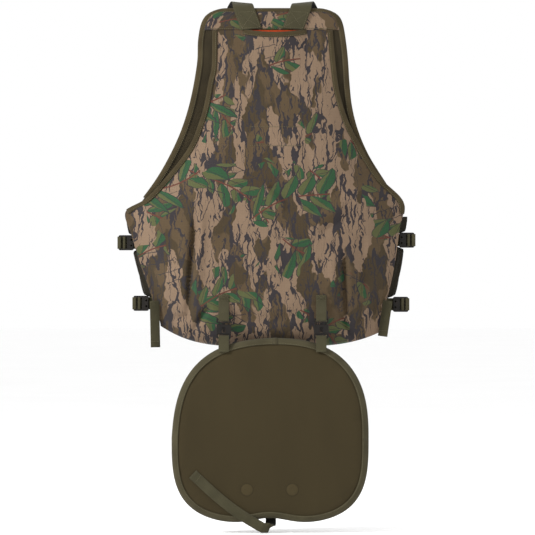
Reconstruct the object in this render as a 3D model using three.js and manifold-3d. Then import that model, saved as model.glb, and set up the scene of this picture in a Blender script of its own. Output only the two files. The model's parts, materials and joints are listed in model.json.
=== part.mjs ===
// Strap vest for field use with a rear game bag, swing-open front panels and a clip-on seat pad.
// Millimetres. +Z is up, the wearer faces +Y, so the bag and the seat are on the -Y side.
// The origin is midway between the two shoulder straps, on the line where a hanger carries them.
import * as THREE from "three";
import { mergeVertices } from "three/addons/utils/BufferGeometryUtils.js";
import Module from "manifold-3d";

const wasm = await Module();
wasm.setup();

// ---- driving dimensions ----
const CLEAR = 0.3; // gap between pieces that touch or are sewn together
const TAPE_ROOM = 1; // gap between a curved sheet and the tape over its edge
const BAG_TAPE_ROOM = 2.4; // the same over the bag's swelling cloth
const SEWN_GAP = 0.6; // gap under webbing that is sewn to a curved sheet

const BACK_Y = -40; // outer face of the back panel at its middle
const BACK_CURVE = 4.6e-4; // how fast the back panel curves forward to the sides, per mm
const FRONT_Y = 46; // inner face of the front panels at the middle
const FRONT_CURVE = 5.2e-4; // how fast the front panels curve back to the sides, per mm
const VEST_TOP = -12; // top edge of the back panel
const VEST_BOTTOM = -646; // lowest point of the bag
const CORNER_BOTTOM = VEST_BOTTOM + 34; // where the bag's bottom edge meets its sides
const VEST_MID_X = 8; // the vest hangs this far off the seat's middle

const PANEL_THICK = 6; // quilted back panel
const CLOTH = 2; // one layer of bag cloth with its turned seam
const LINING_THICK = 0.8;
const BINDING_THICK = 1.2;
const BINDING_WIDE = 8.5; // how far the edge tape laps over the cloth

const BAG_MOUTH_Z = -50; // top edge of the bag
const MOUTH_GAPE = 12; // how far the bag's mouth stands off the back panel
const BAG_DEPTH = 58; // fullest depth of the bag
const BAG_EDGE = 7; // the bag's edge seam stands this far off the back panel
const SEAM_MARGIN = 10; // width of the flat seam along the bag's sides
const BAG_FULL_AT = 0.84; // share of the bag's height where it is fullest
const BAG_ROW_HIGH = 37; // the bag's cloth is drawn in rows about this high
const ARMPIT_Z = -385;

const WEB_THICK = 1.3; // webbing
const WEB_NARROW = 20; // adjusters and clips
const WEB_WIDE = 38; // shoulder straps
const STRAP_LOW_X = 39.5; // shoulder strap's sewn end, each side of the vest's middle
const STRAP_TOP_X = 58; // shoulder strap's crest, each side of the vest's middle
const STRAP_LOW_Z = -49;
const LOOP_LEAD = 16; // how far the strap runs on upward before it turns forward

const HINGE_TOP_DROP = 22; // the shoulder joint's height under the crest
const HINGE_SIDE = { x: 272, y: 10, z: -500 }; // where the front panel's swing line meets the side
const SHOULDER_PAD_WIDE = 56;
const SHOULDER_PAD_THICK = 9;
const SHOULDER_PAD_LONG = 150;

const FRONT_THICK = 4;
const FRONT_TOP = -172;
const FRONT_BOTTOM = -604;
const FRONT_OPEN = 32; // half the gap between the two front panels

const CARGO = { x: 138, top: -424, wide: 150, high: 158, deep: 30 };
const POCKET_WALL = 2;
const FLAP = { wide: 158, high: 56, thick: 2.6, gap: 1 };

const CLIP_X = [-84, 101]; // the two seat clips
const CLIP_TOP = VEST_BOTTOM + 45; // top of the seat clips
const CLIP_PROUD = 9; // middle of the clips, in front of the fullest bag
const CLIP_WIDE = 28;
const CLIP_THICK = 9;
const FRAME_HIGH = 9; // webbing frame at each end of a clip
const BOX_HIGH = 18; // hollow socket of a clip
const SLOT_HIGH = 4;
const BAR = 3; // webbing bar
const SOCKET_WALL = 2.6;
const ARM_LONG = 17;
const ARM_THICK = 3.6;
const NECK = 2.6; // gap between the two halves of a fastened clip

const SEAT_HINGE_Z = VEST_BOTTOM; // fold line of the webs that carry the seat
const SEAT_UNDER_FOLD = 1.5; // the seat's edge hangs this far under the fold, at the nearer clip
const LOOP_R = 4; // middle of the web where it turns round a bar
const SEAT = { wide: 374, up: 190, down: 163, thick: 17 };
const SEAT_ROUND_UP = 2.6; // how square the seat's upper outline is
const SEAT_ROUND_DOWN = 3.25; // how square its lower outline is
const SEAT_NOTCH = 11; // depth of the hollow in the seat's lower edge
const SEAT_NOTCH_WIDE = 46;
const COVER = 1.4;
const SEAT_BINDING = 12;
const MAGNET = { r: 12, thick: 3, spread: 43, offset: 3, drop: 98 };

const ADJUSTERS = [
  { name: "upper_left", side: -1, x: 272, y: -5, z: -457 },
  { name: "lower_left", side: -1, x: 243, y: -17, z: -573 },
  { name: "upper_right", side: 1, x: 266, y: -5, z: -452 },
  { name: "lower_right", side: 1, x: 254, y: -15, z: -575 },
];
const LOCK = { wide: 29, high: 29, thick: 5, bar: 3.4, slot: 4.6, hole: 2 };

// ---- materials ----
const cloth = (colour) => new THREE.MeshStandardMaterial({ color: colour, roughness: 0.95, metalness: 0 });
const camo = () => cloth(0x6b5a45);
const olive = () => cloth(0x4b3f28);
const tape = () => cloth(0x55492f);
const webbing = () => cloth(0x56513b);
const orange = () => cloth(0xd8501a);
const mesh = () => cloth(0x2b2719);
const seatCloth = () => cloth(0x453c27);
const foam = () => cloth(0x2f2f2c);
const plastic = () => new THREE.MeshStandardMaterial({ color: 0x322d29, roughness: 0.45, metalness: 0 });
const steel = () => new THREE.MeshStandardMaterial({ color: 0x8c8c8c, roughness: 0.3, metalness: 1 });

const vest = new THREE.Group();
function add(name, geometry, material, place = vest) {
  const piece = new THREE.Mesh(geometry, material);
  piece.name = name;
  place.add(piece);
  return piece;
}

// ---- geometry helpers ----
const v3 = (x, y, z) => new THREE.Vector3(x, y, z);
const lerp = THREE.MathUtils.lerp;
const clamp01 = (t) => Math.min(1, Math.max(0, t));
const ease = (t) => clamp01(t) ** 2 * (3 - 2 * clamp01(t));

// A closed mesh from points and triangles, with its faces turned outward.
function closedMesh(points, faces) {
  let volume = 0;
  for (const [a, b, c] of faces) {
    volume += points[a].dot(v3(0, 0, 0).crossVectors(points[b], points[c]));
  }
  const turned = volume < 0 ? faces.map(([a, b, c]) => [a, c, b]) : faces;
  const geometry = new THREE.BufferGeometry();
  geometry.setAttribute("position", new THREE.Float32BufferAttribute(points.flatMap((p) => p.toArray()), 3));
  geometry.setIndex(turned.flat());
  geometry.computeVertexNormals();
  return geometry;
}

// A sheet of cloth: at(s, t) gives its outer face, and through(s, t) the way to its inner face.
function sheet(at, through, cols, rows) {
  const points = [];
  for (const side of [0, 1]) {
    for (let j = 0; j <= rows; j++) {
      for (let i = 0; i <= cols; i++) {
        const p = at(i / cols, j / rows);
        points.push(side ? p.add(through(i / cols, j / rows)) : p);
      }
    }
  }
  const n = cols + 1;
  const back = n * (rows + 1);
  const faces = [];
  const quad = (a, b, c, d) => faces.push([a, b, c], [a, c, d]);
  for (let j = 0; j < rows; j++) {
    for (let i = 0; i < cols; i++) {
      const k = j * n + i;
      quad(k, k + 1, k + n + 1, k + n);
      quad(back + k, back + k + n, back + k + n + 1, back + k + 1);
    }
  }
  const rim = [];
  for (let i = 0; i < cols; i++) rim.push(i);
  for (let j = 0; j < rows; j++) rim.push(j * n + cols);
  for (let i = cols; i > 0; i--) rim.push(rows * n + i);
  for (let j = rows; j > 0; j--) rim.push(j * n);
  rim.forEach((k, i) => {
    const next = rim[(i + 1) % rim.length];
    quad(k, back + k, back + next, next);
  });
  return closedMesh(points, faces);
}

// A profile of [side, normal] points carried along a path. sideAt(i, tangent) gives the profile's first axis.
function sweep(path, sideAt, profile, closed = false) {
  const count = path.length;
  const points = [];
  path.forEach((centre, i) => {
    const before = path[closed ? (i + count - 1) % count : Math.max(0, i - 1)];
    const after = path[closed ? (i + 1) % count : Math.min(count - 1, i + 1)];
    const tangent = after.clone().sub(before).normalize();
    const side = sideAt(i, tangent).clone();
    side.addScaledVector(tangent, -side.dot(tangent)).normalize();
    const normal = v3(0, 0, 0).crossVectors(tangent, side);
    for (const [u, v] of profile) {
      points.push(centre.clone().addScaledVector(side, u).addScaledVector(normal, v));
    }
  });
  const m = profile.length;
  const faces = [];
  for (let i = 0; i < (closed ? count : count - 1); i++) {
    const a = i * m;
    const b = ((i + 1) % count) * m;
    for (let k = 0; k < m; k++) {
      const l = (k + 1) % m;
      // Opposite faces are split along matching diagonals, so a twisted band keeps its thickness.
      if (profile[l][0] < profile[k][0]) faces.push([a + k, b + k, a + l], [b + k, b + l, a + l]);
      else faces.push([a + k, b + k, b + l], [a + k, b + l, a + l]);
    }
  }
  if (!closed) {
    const flat = profile.map(([u, v]) => new THREE.Vector2(u, v));
    const cap = THREE.ShapeUtils.triangulateShape(flat, []);
    const turn = THREE.ShapeUtils.area(flat) > 0;
    const last = (count - 1) * m;
    for (const [a, b, c] of cap) {
      faces.push(turn ? [a, b, c] : [a, c, b]);
      faces.push(turn ? [last + a, last + c, last + b] : [last + a, last + b, last + c]);
    }
  }
  return closedMesh(points, faces);
}

const alongY = (depth) => () => v3(0, depth, 0);

// Webbing round a bar that runs along X: points from angle a to angle b about the bar's middle.
function barTurn(x, y, z, a, b) {
  return Array.from({ length: 8 }, (_, i) => {
    const turn = lerp(a, b, i / 7);
    return v3(x, y + LOOP_R * Math.cos(turn), z + LOOP_R * Math.sin(turn));
  });
}

const band = (wide, thick) => [
  [-wide / 2, -thick / 2],
  [wide / 2, -thick / 2],
  [wide / 2, thick / 2],
  [-wide / 2, thick / 2],
];
const strap = (path, side, wide, thick = WEB_THICK) => sweep(path, () => side, band(wide, thick));

// The U-shaped section of an edge tape round cloth of a given thickness.
function tapeSection(thick, lap, room = CLEAR) {
  const inner = thick / 2 + room;
  const outer = inner + BINDING_THICK;
  return [
    [-lap, outer],
    [room + BINDING_THICK, outer],
    [room + BINDING_THICK, -outer],
    [-lap, -outer],
    [-lap, -inner],
    [room, -inner],
    [room, inner],
    [-lap, inner],
  ];
}

// Edge tape folded over a sheet's rim. rim lists [s, t] places in order; depth is the signed thickness.
function edgeTape(surface, rim, depth, closed = false, room = TAPE_ROOM) {
  const path = rim.map(([s, t]) => surface(s, t).add(v3(0, depth / 2, 0)));
  const outward = (i) => {
    const [s, t] = rim[i];
    return surface(s, t).sub(surface(lerp(s, 0.5, 0.05), lerp(t, 0.5, 0.02)));
  };
  return sweep(path, outward, tapeSection(Math.abs(depth), BINDING_WIDE, room), closed);
}

// Places along a sheet's rim, from one grid point to another.
function rimRun([s0, t0], [s1, t1], steps) {
  return Array.from({ length: steps }, (_, i) => [lerp(s0, s1, i / steps), lerp(t0, t1, i / steps)]);
}

// x as a function of z along a smooth edge given from top to bottom.
function edge(points) {
  const curve = new THREE.SplineCurve(points.map(([x, z]) => new THREE.Vector2(x, z)));
  const line = curve.getPoints(40 * points.length);
  return (z) => {
    const i = line.findIndex((p) => p.y <= z);
    if (i === 0) return line[0].x;
    if (i < 0) return line[line.length - 1].x;
    const [a, b] = [line[i - 1], line[i]];
    return lerp(a.x, b.x, (z - a.y) / (b.y - a.y));
  };
}

// ---- solids that are cut or joined ----
function solid(geometry) {
  const bare = geometry.index ? geometry.toNonIndexed() : geometry.clone();
  for (const name of Object.keys(bare.attributes)) if (name !== "position") bare.deleteAttribute(name);
  const merged = mergeVertices(bare, 1e-4);
  const triVerts = new Uint32Array(merged.index.array);
  const vertProperties = merged.attributes.position.array;
  return new wasm.Manifold(new wasm.Mesh({ numProp: 3, vertProperties, triVerts }));
}

function geometryOf(body) {
  const m = body.getMesh();
  const geometry = new THREE.BufferGeometry();
  const position = new Float32Array(m.numVert * 3);
  for (let i = 0; i < m.numVert; i++) {
    position.set(m.vertProperties.subarray(i * m.numProp, i * m.numProp + 3), i * 3);
  }
  geometry.setAttribute("position", new THREE.BufferAttribute(position, 3));
  geometry.setIndex(new THREE.BufferAttribute(m.triVerts, 1));
  geometry.computeVertexNormals();
  return geometry;
}

const block = (w, d, h, x = 0, y = 0, z = 0) => solid(new THREE.BoxGeometry(w, d, h).translate(x, y, z));

// A flat shape drawn in X and Z, given a thickness along Y and a small chamfer.
function plate(shape, thick, chamfer = 0.6, curveSegments = 5) {
  const geometry = new THREE.ExtrudeGeometry(shape, {
    depth: thick - 2 * chamfer,
    bevelEnabled: chamfer > 0,
    bevelThickness: chamfer,
    bevelSize: chamfer,
    bevelOffset: -chamfer,
    bevelSegments: 1,
    curveSegments,
  });
  return geometry.translate(0, 0, chamfer - thick / 2).rotateX(Math.PI / 2);
}

function roundedBox(x0, x1, z0, z1, r) {
  const s = new THREE.Shape();
  s.moveTo(x0 + r, z0).lineTo(x1 - r, z0).absarc(x1 - r, z0 + r, r, -Math.PI / 2, 0);
  s.lineTo(x1, z1 - r).absarc(x1 - r, z1 - r, r, 0, Math.PI / 2);
  s.lineTo(x0 + r, z1).absarc(x0 + r, z1 - r, r, Math.PI / 2, Math.PI);
  s.lineTo(x0, z0 + r).absarc(x0 + r, z0 + r, r, Math.PI, 1.5 * Math.PI);
  return s;
}

// ---- back panel and bag outlines, from top to bottom ----
const backLeft = edge([
  [-90, -12], [-108, -17], [-119, -27], [-126, -42], [-131, -72], [-132, -108], [-139, -154],
  [-149, -199], [-164, -245], [-185, -291], [-211, -336], [-242, -378], [-262, -400], [-256, -441],
  [-241, -486], [-217, -559], [-200, -608], [-199, -650],
]);
const backRight = edge([
  [106, -12], [124, -17], [135, -27], [141, -42], [146, -72], [150, -108], [153, -154],
  [158, -199], [170, -245], [190, -291], [218, -336], [238, -366], [253, -388], [246, -431],
  [237, -495], [226, -545], [208, -606], [205, -650],
]);
const bagLeft = edge([
  [-105, -50], [-106, -120], [-112, -148], [-119, -188], [-129, -224], [-150, -275], [-190, -328],
  [-234, -375], [-273, -398], [-262, -441], [-248, -486], [-223, -559], [-206, -612], [-205, -655],
]);
const bagRight = edge([
  [122, -50], [127, -108], [133, -158], [142, -196], [155, -232], [174, -268], [192, -300],
  [218, -338], [259, -381], [252, -431], [243, -495], [232, -548], [214, -611], [212, -655],
]);
const backY = (x) => BACK_Y + BACK_CURVE * x * x;
const frontY = (x) => FRONT_Y - FRONT_CURVE * x * x;
const bottomZ = (s) => lerp(VEST_BOTTOM, CORNER_BOTTOM, Math.abs(2 * s - 1) ** 2.6);

// ---- back panel ----
const PANEL_RISE = 6; // the panel's lower edge sits this far above the bag's
function backPoint(s, t) {
  const z = lerp(VEST_TOP, bottomZ(s) + PANEL_RISE, t * Math.sqrt(Math.abs(t)));
  const x = lerp(backLeft(z), backRight(z), s);
  return v3(x, backY(x), z);
}
const BACK_ROW_HIGH = 40; // the panel is drawn in rows about this high, wider apart towards its foot
const BACK_GRID = [10, Math.round((VEST_TOP - VEST_BOTTOM) / BACK_ROW_HIGH)];
add("back_panel", sheet(backPoint, alongY(PANEL_THICK), ...BACK_GRID), olive());

// The edge tape runs up one armhole, over the top and down the other.
const BACK_TAPE_END_Z = -350;
const tapedShare = (VEST_TOP - BACK_TAPE_END_Z) / (VEST_TOP - CORNER_BOTTOM - PANEL_RISE);
const tapedRows = Math.round(BACK_GRID[1] * tapedShare ** (2 / 3));
const backTapeEnd = tapedRows / BACK_GRID[1];
const backRim = [
  ...rimRun([0, backTapeEnd], [0, 0], tapedRows),
  ...rimRun([0, 0], [1, 0], BACK_GRID[0]),
  ...rimRun([1, 0], [1, backTapeEnd], tapedRows),
  [1, backTapeEnd],
];
add("back_binding", edgeTape(backPoint, backRim, PANEL_THICK), tape());

// ---- yoke, lining and bag ----
const YOKE_LOW = -45;
add(
  "yoke_panel",
  sheet(
    (s, t) => {
      const z = lerp(VEST_TOP - BINDING_WIDE - 4, YOKE_LOW, t);
      const inset = BINDING_WIDE + 10;
      const x = lerp(backLeft(z) + inset, backRight(z) - inset, s);
      return v3(x, backY(x) - CLEAR, z);
    },
    alongY(-CLOTH),
    8,
    1,
  ),
  camo(),
);

add(
  "bag_lining",
  sheet(
    (s, t) => {
      const z = lerp(YOKE_LOW - CLEAR, -330, t);
      const x = lerp(-84, 100, s);
      return v3(x, backY(x) - CLEAR, z);
    },
    alongY(-LINING_THICK),
    8,
    1,
  ),
  orange(),
);

// The bag's cloth stands off the back panel: a low mouth, a full belly and a rounded bottom, inside a flat
// margin where it is sewn down.
const BAG_GRID = [14, Math.round((BAG_MOUTH_Z - VEST_BOTTOM) / BAG_ROW_HIGH)];
function bagGap(x, z, t) {
  const half = (bagRight(z) - bagLeft(z)) / 2;
  const inboard = clamp01((half - SEAM_MARGIN - Math.abs(x - bagLeft(z) - half)) / (half - SEAM_MARGIN));
  const across = (1 - (1 - inboard) ** 3.4) ** 0.6;
  const belly = lerp(MOUTH_GAPE, BAG_DEPTH, ease(t / BAG_FULL_AT) ** 0.8);
  const under = clamp01((t - BAG_FULL_AT) / (1 - BAG_FULL_AT));
  const closing = Math.sqrt(1 - under ** 2);
  return lerp(CLEAR + 0.5, BAG_EDGE, closing) + Math.max(0, belly - BAG_EDGE) * across * closing;
}
function bagPoint(s, t) {
  const z = lerp(BAG_MOUTH_Z, bottomZ(s), t);
  const margin = 1 / BAG_GRID[0];
  const [left, right] = [bagLeft(z), bagRight(z)];
  let x = lerp(left + SEAM_MARGIN, right - SEAM_MARGIN, (s - margin) / (1 - 2 * margin));
  if (s < margin) x = left + (SEAM_MARGIN * s) / margin;
  if (s > 1 - margin) x = right - (SEAM_MARGIN * (1 - s)) / margin;
  return v3(x, backY(x) - bagGap(x, z, t), z);
}
add("game_bag", sheet(bagPoint, alongY(-CLOTH), ...BAG_GRID), camo());

// How far out the bag's cloth is at a place on it.
function bagFace(x, z) {
  const s = (x - bagLeft(z)) / (bagRight(z) - bagLeft(z));
  const t = clamp01((z - BAG_MOUTH_Z) / (bottomZ(s) - BAG_MOUTH_Z));
  return backY(x) - bagGap(x, z, t) - CLOTH;
}

// One run of edge tape: up the bag's left side, along its mouth and down its right side.
const BAG_TAPE_ROWS = Math.round((BAG_MOUTH_Z - ARMPIT_Z) / BAG_ROW_HIGH);
const bagTapeEnd = BAG_TAPE_ROWS / BAG_GRID[1];
const bagRim = [
  ...rimRun([0, bagTapeEnd], [0, 0], BAG_TAPE_ROWS),
  ...rimRun([0, 0], [1, 0], BAG_GRID[0]),
  ...rimRun([1, 0], [1, bagTapeEnd], BAG_TAPE_ROWS),
  [1, bagTapeEnd],
];
add("bag_binding", edgeTape(bagPoint, bagRim, -CLOTH, false, BAG_TAPE_ROOM), tape());

// ---- shoulder straps and front panels ----
function swingLine(side) {
  const top = v3(VEST_MID_X + side * (STRAP_TOP_X + 16), FRONT_Y - 6, -HINGE_TOP_DROP);
  const low = v3(side * HINGE_SIDE.x, HINGE_SIDE.y, HINGE_SIDE.z);
  return { top, low, down: low.clone().sub(top).normalize() };
}

const STRAP_GAP = 2; // from the swing line to the strap above it and the pad under it

// From the yoke, up over the shoulder, to the top of the front panel's swing line.
function shoulderPath(side) {
  const faceY = (x) => backY(x) - CLEAR - CLOTH - SEWN_GAP - 1 - WEB_THICK / 2;
  const low = VEST_MID_X + side * STRAP_LOW_X;
  const crest = VEST_MID_X + side * STRAP_TOP_X;
  const lean = (z) => lerp(low, crest, (z - STRAP_LOW_Z) / -STRAP_LOW_Z);
  const { top, down } = swingLine(side);
  const path = [STRAP_LOW_Z, -30, -9].map((z) => v3(lean(z), faceY(lean(z)), z));
  const start = path[path.length - 1];
  const end = top.clone().addScaledVector(down, -STRAP_GAP);
  const over = new THREE.CubicBezierCurve3(
    start,
    start.clone().add(v3(side * 3, -3, LOOP_LEAD)),
    end.clone().addScaledVector(down, -2 * LOOP_LEAD),
    end,
  );
  return [...path.slice(0, -1), ...over.getPoints(12)];
}

function shoulderSides(side) {
  const path = shoulderPath(side);
  const back = v3(1, 0, side * -0.36).normalize();
  const front = v3(1, 0, side * 0.36).normalize();
  return (i) => back.clone().lerp(front, clamp01((i - 2) / (path.length - 3)));
}

const frontInner = (side) => edge([
  [side * 58, -172], [side * 46, -205], [side * 36, -260], [side * FRONT_OPEN, -330],
  [side * FRONT_OPEN, -470], [side * 38, -560], [side * 56, -604],
]);
const frontOuter = (side) => edge([
  [side * 128, -172], [side * 133, -205], [side * 148, -260], [side * 176, -330], [side * 210, -388],
  [side * 233, -412], [side * 234, -455], [side * 228, -540], [side * 212, -604],
]);

function frontPoint(side, s, t) {
  const z = lerp(FRONT_TOP, FRONT_BOTTOM, t);
  const x = lerp(frontInner(side)(z), frontOuter(side)(z), s);
  return v3(x, frontY(x), z);
}

const FRONT_GRID = [6, 10];
const frontRim = [
  ...rimRun([0, 0], [1, 0], FRONT_GRID[0]),
  ...rimRun([1, 0], [1, 1], FRONT_GRID[1]),
  ...rimRun([1, 1], [0, 1], FRONT_GRID[0]),
  ...rimRun([0, 1], [0, 0], FRONT_GRID[1]),
];

// A patch pocket: front and side walls and a floor, open at the top and against the panel.
function pocket({ wide, high, deep }) {
  const outside = block(wide, deep, high, 0, deep / 2, -high / 2);
  const room = deep - POCKET_WALL;
  const inside = block(wide - 2 * POCKET_WALL, room, high, 0, room / 2 - 0.01, POCKET_WALL - high / 2);
  return geometryOf(outside.subtract(inside));
}

// The flap: a hood over the pocket's mouth and a lip down its front.
function pocketFlap() {
  const reach = CARGO.deep + FLAP.gap + FLAP.thick;
  const lip = plate(roundedBox(-FLAP.wide / 2, FLAP.wide / 2, -FLAP.high, 0, 10), FLAP.thick, 0.6, 3);
  const hood = block(FLAP.wide, reach, FLAP.thick, 0, reach / 2, FLAP.gap + FLAP.thick / 2);
  lip.translate(0, reach - FLAP.thick / 2, FLAP.gap + FLAP.thick);
  return geometryOf(solid(lip).add(hood));
}

const TOP_STITCH = 2.9; // the panel ends this far under the shoulder pad
for (const [name, side] of [["left", -1], ["right", 1]]) {
  const path = shoulderPath(side);
  const sides = shoulderSides(side);
  add(`shoulder_strap_${name}`, sweep(path, sides, band(WEB_WIDE, WEB_THICK)), webbing());

  // The padded shoulder piece starts square to the swing line and ends on the panel's upper edge.
  const { top, down } = swingLine(side);
  const padTop = top.clone().addScaledVector(down, STRAP_GAP);
  const padEndX = (frontInner(side)(FRONT_TOP) + frontOuter(side)(FRONT_TOP)) / 2;
  const padEnd = v3(padEndX, frontY(padEndX) + FRONT_THICK / 2, FRONT_TOP + TOP_STITCH + BINDING_THICK);
  const run = new THREE.CubicBezierCurve3(
    padTop,
    padTop.clone().addScaledVector(down, SHOULDER_PAD_LONG * 0.3),
    padEnd.clone().add(v3(side * -3, 0, SHOULDER_PAD_LONG * 0.3)),
    padEnd,
  );
  add(
    `shoulder_pad_${name}`,
    sweep(run.getPoints(9), () => v3(1, 0, side * 0.3), band(SHOULDER_PAD_WIDE, SHOULDER_PAD_THICK)),
    olive(),
  );

  const front = (s, t) => frontPoint(side, s, t);
  add(`front_panel_${name}`, sheet(front, alongY(FRONT_THICK), ...FRONT_GRID), camo());
  add(`front_binding_${name}`, edgeTape(front, frontRim, FRONT_THICK, true), tape());

  // The cargo pocket stands on the panel, turned with its curve, and its flap is hinged over its mouth.
  const x = side * CARGO.x;
  const turn = Math.atan(-2 * FRONT_CURVE * x);
  const placed = new THREE.Group();
  placed.position.set(x, frontY(x) + FRONT_THICK + CLEAR, CARGO.top);
  placed.rotation.z = turn;
  vest.add(placed);
  add(`cargo_pocket_${name}`, pocket(CARGO), camo(), placed);
  add(`cargo_flap_${name}`, pocketFlap(), camo(), placed);
}

// ---- side wings: dark mesh that joins the back and front at the waist ----
const WING_BULGE = 5;
const WING_LAP = 7; // how far the wing is tucked inside the edges of the panels
for (const [name, side, line] of [["left", -1, backLeft], ["right", 1, backRight]]) {
  const wingPoint = (s, t) => {
    const z = lerp(-412, -592, t);
    const backX = line(z) - side * WING_LAP;
    const frontX = frontOuter(side)(z) - side * WING_LAP;
    const x = lerp(backX, frontX, s) + side * WING_BULGE * Math.sin(Math.PI * s);
    return v3(x, lerp(backY(backX) + PANEL_THICK + 0.8, frontY(frontX) - 2.6, s), z);
  };
  add(`side_wing_${name}`, sheet(wingPoint, () => v3(-side * 1.2, 0, 0), 5, 5), mesh());
}

// ---- strap adjusters at the waist ----
// A frame with a lift plate on the vest's side, then two webbing bars.
const LOCK_SLOT_PLAY = 1.4; // the slots are this much longer than the webbing is wide
function lockFrame(side) {
  const half = LOCK.wide / 2;
  let body = solid(plate(roundedBox(-half, half, -LOCK.high / 2, LOCK.high / 2, 3), LOCK.thick, 0.6, 2));
  const slotHigh = WEB_NARROW + LOCK_SLOT_PLAY;
  for (let i = 0; i < 2; i++) {
    const x = half - LOCK.bar - LOCK.slot / 2 - i * (LOCK.slot + LOCK.bar);
    body = body.subtract(block(LOCK.slot, 2 * LOCK.thick, slotHigh, side * x));
  }
  for (const z of [-5.5, 5.5]) {
    const hole = new THREE.CylinderGeometry(LOCK.hole, LOCK.hole, 2 * LOCK.thick, 8);
    body = body.subtract(solid(hole.translate(side * (4.5 - half), 0, z)));
  }
  return geometryOf(body);
}
const lockBarX = (i) => LOCK.wide / 2 - LOCK.bar / 2 - i * (LOCK.slot + LOCK.bar);

for (const { name, side, x, y, z } of ADJUSTERS) {
  const group = new THREE.Group();
  group.position.set(side * x, y, z);
  vest.add(group);
  add(`adjuster_${name}`, lockFrame(side), plastic(), group);
  // A point beside the frame: out is away from the vest's middle, in the frame's own place.
  const at = (out, along) => v3(side * out, along, 0);

  // Webbing lies this far from the frame's middle plane, and this far beside a bar's middle in a slot.
  const face = LOCK.thick / 2 + CLEAR + WEB_THICK / 2 + 0.2;
  const beside = LOCK.bar / 2 + CLEAR + WEB_THICK / 2 + 0.3;
  const widest = (line) => Math.max(...[-1, 0, 1].map((k) => side * line(z + (k * WEB_NARROW) / 2)));
  const edgeX = widest(side < 0 ? backLeft : backRight);
  const bar = lockBarX(1);

  // The anchor is sewn to the back panel's edge, goes under the frame's plate and round the inner bar.
  const anchor = [
    at(edgeX + 1.1 - x, backY(edgeX) + PANEL_THICK / 2 - y),
    at(-LOCK.wide / 2 - 2.5, face + 0.6),
    at(bar - 4.6, face),
    at(bar - beside, face - 1.5),
    at(bar - beside, 1 - face),
    at(bar - beside + 0.8, -face),
    at(bar + 1.2, -face),
  ];
  add(`anchor_web_${name}`, strap(anchor, v3(0, 0, 1), WEB_NARROW), webbing(), group);

  // The pull web comes from the front panel, round the outer bar and into the outer slot.
  const outer = lockBarX(0);
  const frontX = widest(frontOuter(side));
  const webX = frontX + TAPE_ROOM + BINDING_THICK + 0.6;
  const pull = [
    at(webX - x, frontY(frontX) + FRONT_THICK / 2 - y),
    at((webX - x + outer) / 2 + 3, (frontY(frontX) - y) / 2 + 4),
    at(outer + 0.4, face + 0.8),
    at(outer + beside, face - 0.4),
    at(outer + beside + 0.2, 0),
    at(outer + beside, 0.4 - face),
    at(outer + 0.6, -face),
    at(outer - 1.4, -face),
    at(outer - beside, 1 - face),
  ];
  add(`pull_web_${name}`, strap(pull, v3(0, 0, 1), WEB_NARROW), webbing(), group);
}

// ---- side-release clips ----
// Local frame: the middle of the clip's width and thickness, with z = 0 at the top of the plug's frame.
const CLIP_HIGH = 2 * FRAME_HIGH + NECK + BOX_HIGH;
const SLOT_PLAY = 1.4; // the webbing slots are this much wider than the webbing
const PLUG_ROOT = -FRAME_HIGH - 1;
const ARM_X = 8.6; // middle of each latch arm's root
function webFrame(top) {
  const half = CLIP_WIDE / 2;
  const frame = solid(plate(roundedBox(-half, half, top - FRAME_HIGH, top, 2.2), 5, 0.5, 2));
  return frame.subtract(block(WEB_NARROW + SLOT_PLAY, 20, SLOT_HIGH, 0, 0, top - BAR - SLOT_HIGH / 2));
}

function clipPlug() {
  const tongue = block(5.4, 3, FRAME_HIGH + 13, 0, 0, -FRAME_HIGH / 2 - 10.5);
  const frame = webFrame(0);
  return geometryOf(frame.add(tongue.intersect(block(20, 20, 40, 0, 0, -FRAME_HIGH - 19))));
}

// One latch arm, from its root at the plug to its barbed tip.
function latchArm(side) {
  const s = new THREE.Shape();
  s.moveTo(-1.2 * side, 0).lineTo(1.2 * side, 0);
  s.quadraticCurveTo(1.5 * side, -5, 2.2 * side, -8).lineTo(2.2 * side, -11).lineTo(0.6 * side, -ARM_LONG);
  s.lineTo(-side, -ARM_LONG).quadraticCurveTo(-0.4 * side, -9, -1.2 * side, 0);
  return plate(s, ARM_THICK, 0.3, 4);
}

function clipSocket() {
  const half = CLIP_WIDE / 2;
  const top = -FRAME_HIGH - NECK;
  const low = top - BOX_HIGH;
  let box = solid(plate(roundedBox(-half, half, low, top, 2), CLIP_THICK, 0.9, 2));
  const roomWide = CLIP_WIDE - 2 * SOCKET_WALL;
  box = box.subtract(block(roomWide, ARM_THICK + 1, BOX_HIGH, 0, 0, top - BOX_HIGH / 2 + 2));
  for (const side of [-1, 1]) {
    box = box.subtract(block(6, ARM_THICK + 3, 8.5, side * half, 0, top - 8));
  }
  const window = new THREE.Shape();
  window.moveTo(-3.6, low + 3).lineTo(3.6, low + 3).lineTo(2.4, top - 5);
  window.lineTo(-2.4, top - 5).lineTo(-3.6, low + 3);
  box = box.subtract(solid(plate(window, 2 * CLIP_THICK, 0)));
  return geometryOf(box.add(webFrameLow(low + 0.5)));
}

function webFrameLow(top) {
  const half = CLIP_WIDE / 2;
  const frame = solid(plate(roundedBox(-half, half, top - FRAME_HIGH, top + 1, 2.2), 5, 0.5, 2));
  const slotZ = top - FRAME_HIGH + BAR + SLOT_HIGH / 2;
  return frame.subtract(block(WEB_NARROW + SLOT_PLAY, 20, SLOT_HIGH, 0, 0, slotZ));
}

function addPlug(name, place) {
  add(`clip_plug_${name}`, clipPlug(), plastic(), place);
  for (const [hand, side] of [["a", -1], ["b", 1]]) {
    const root = new THREE.Group();
    root.position.set(side * ARM_X, 0, PLUG_ROOT + 0.6);
    place.add(root);
    add(`latch_arm_${name}_${hand}`, latchArm(side), plastic(), root);
  }
}

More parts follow.
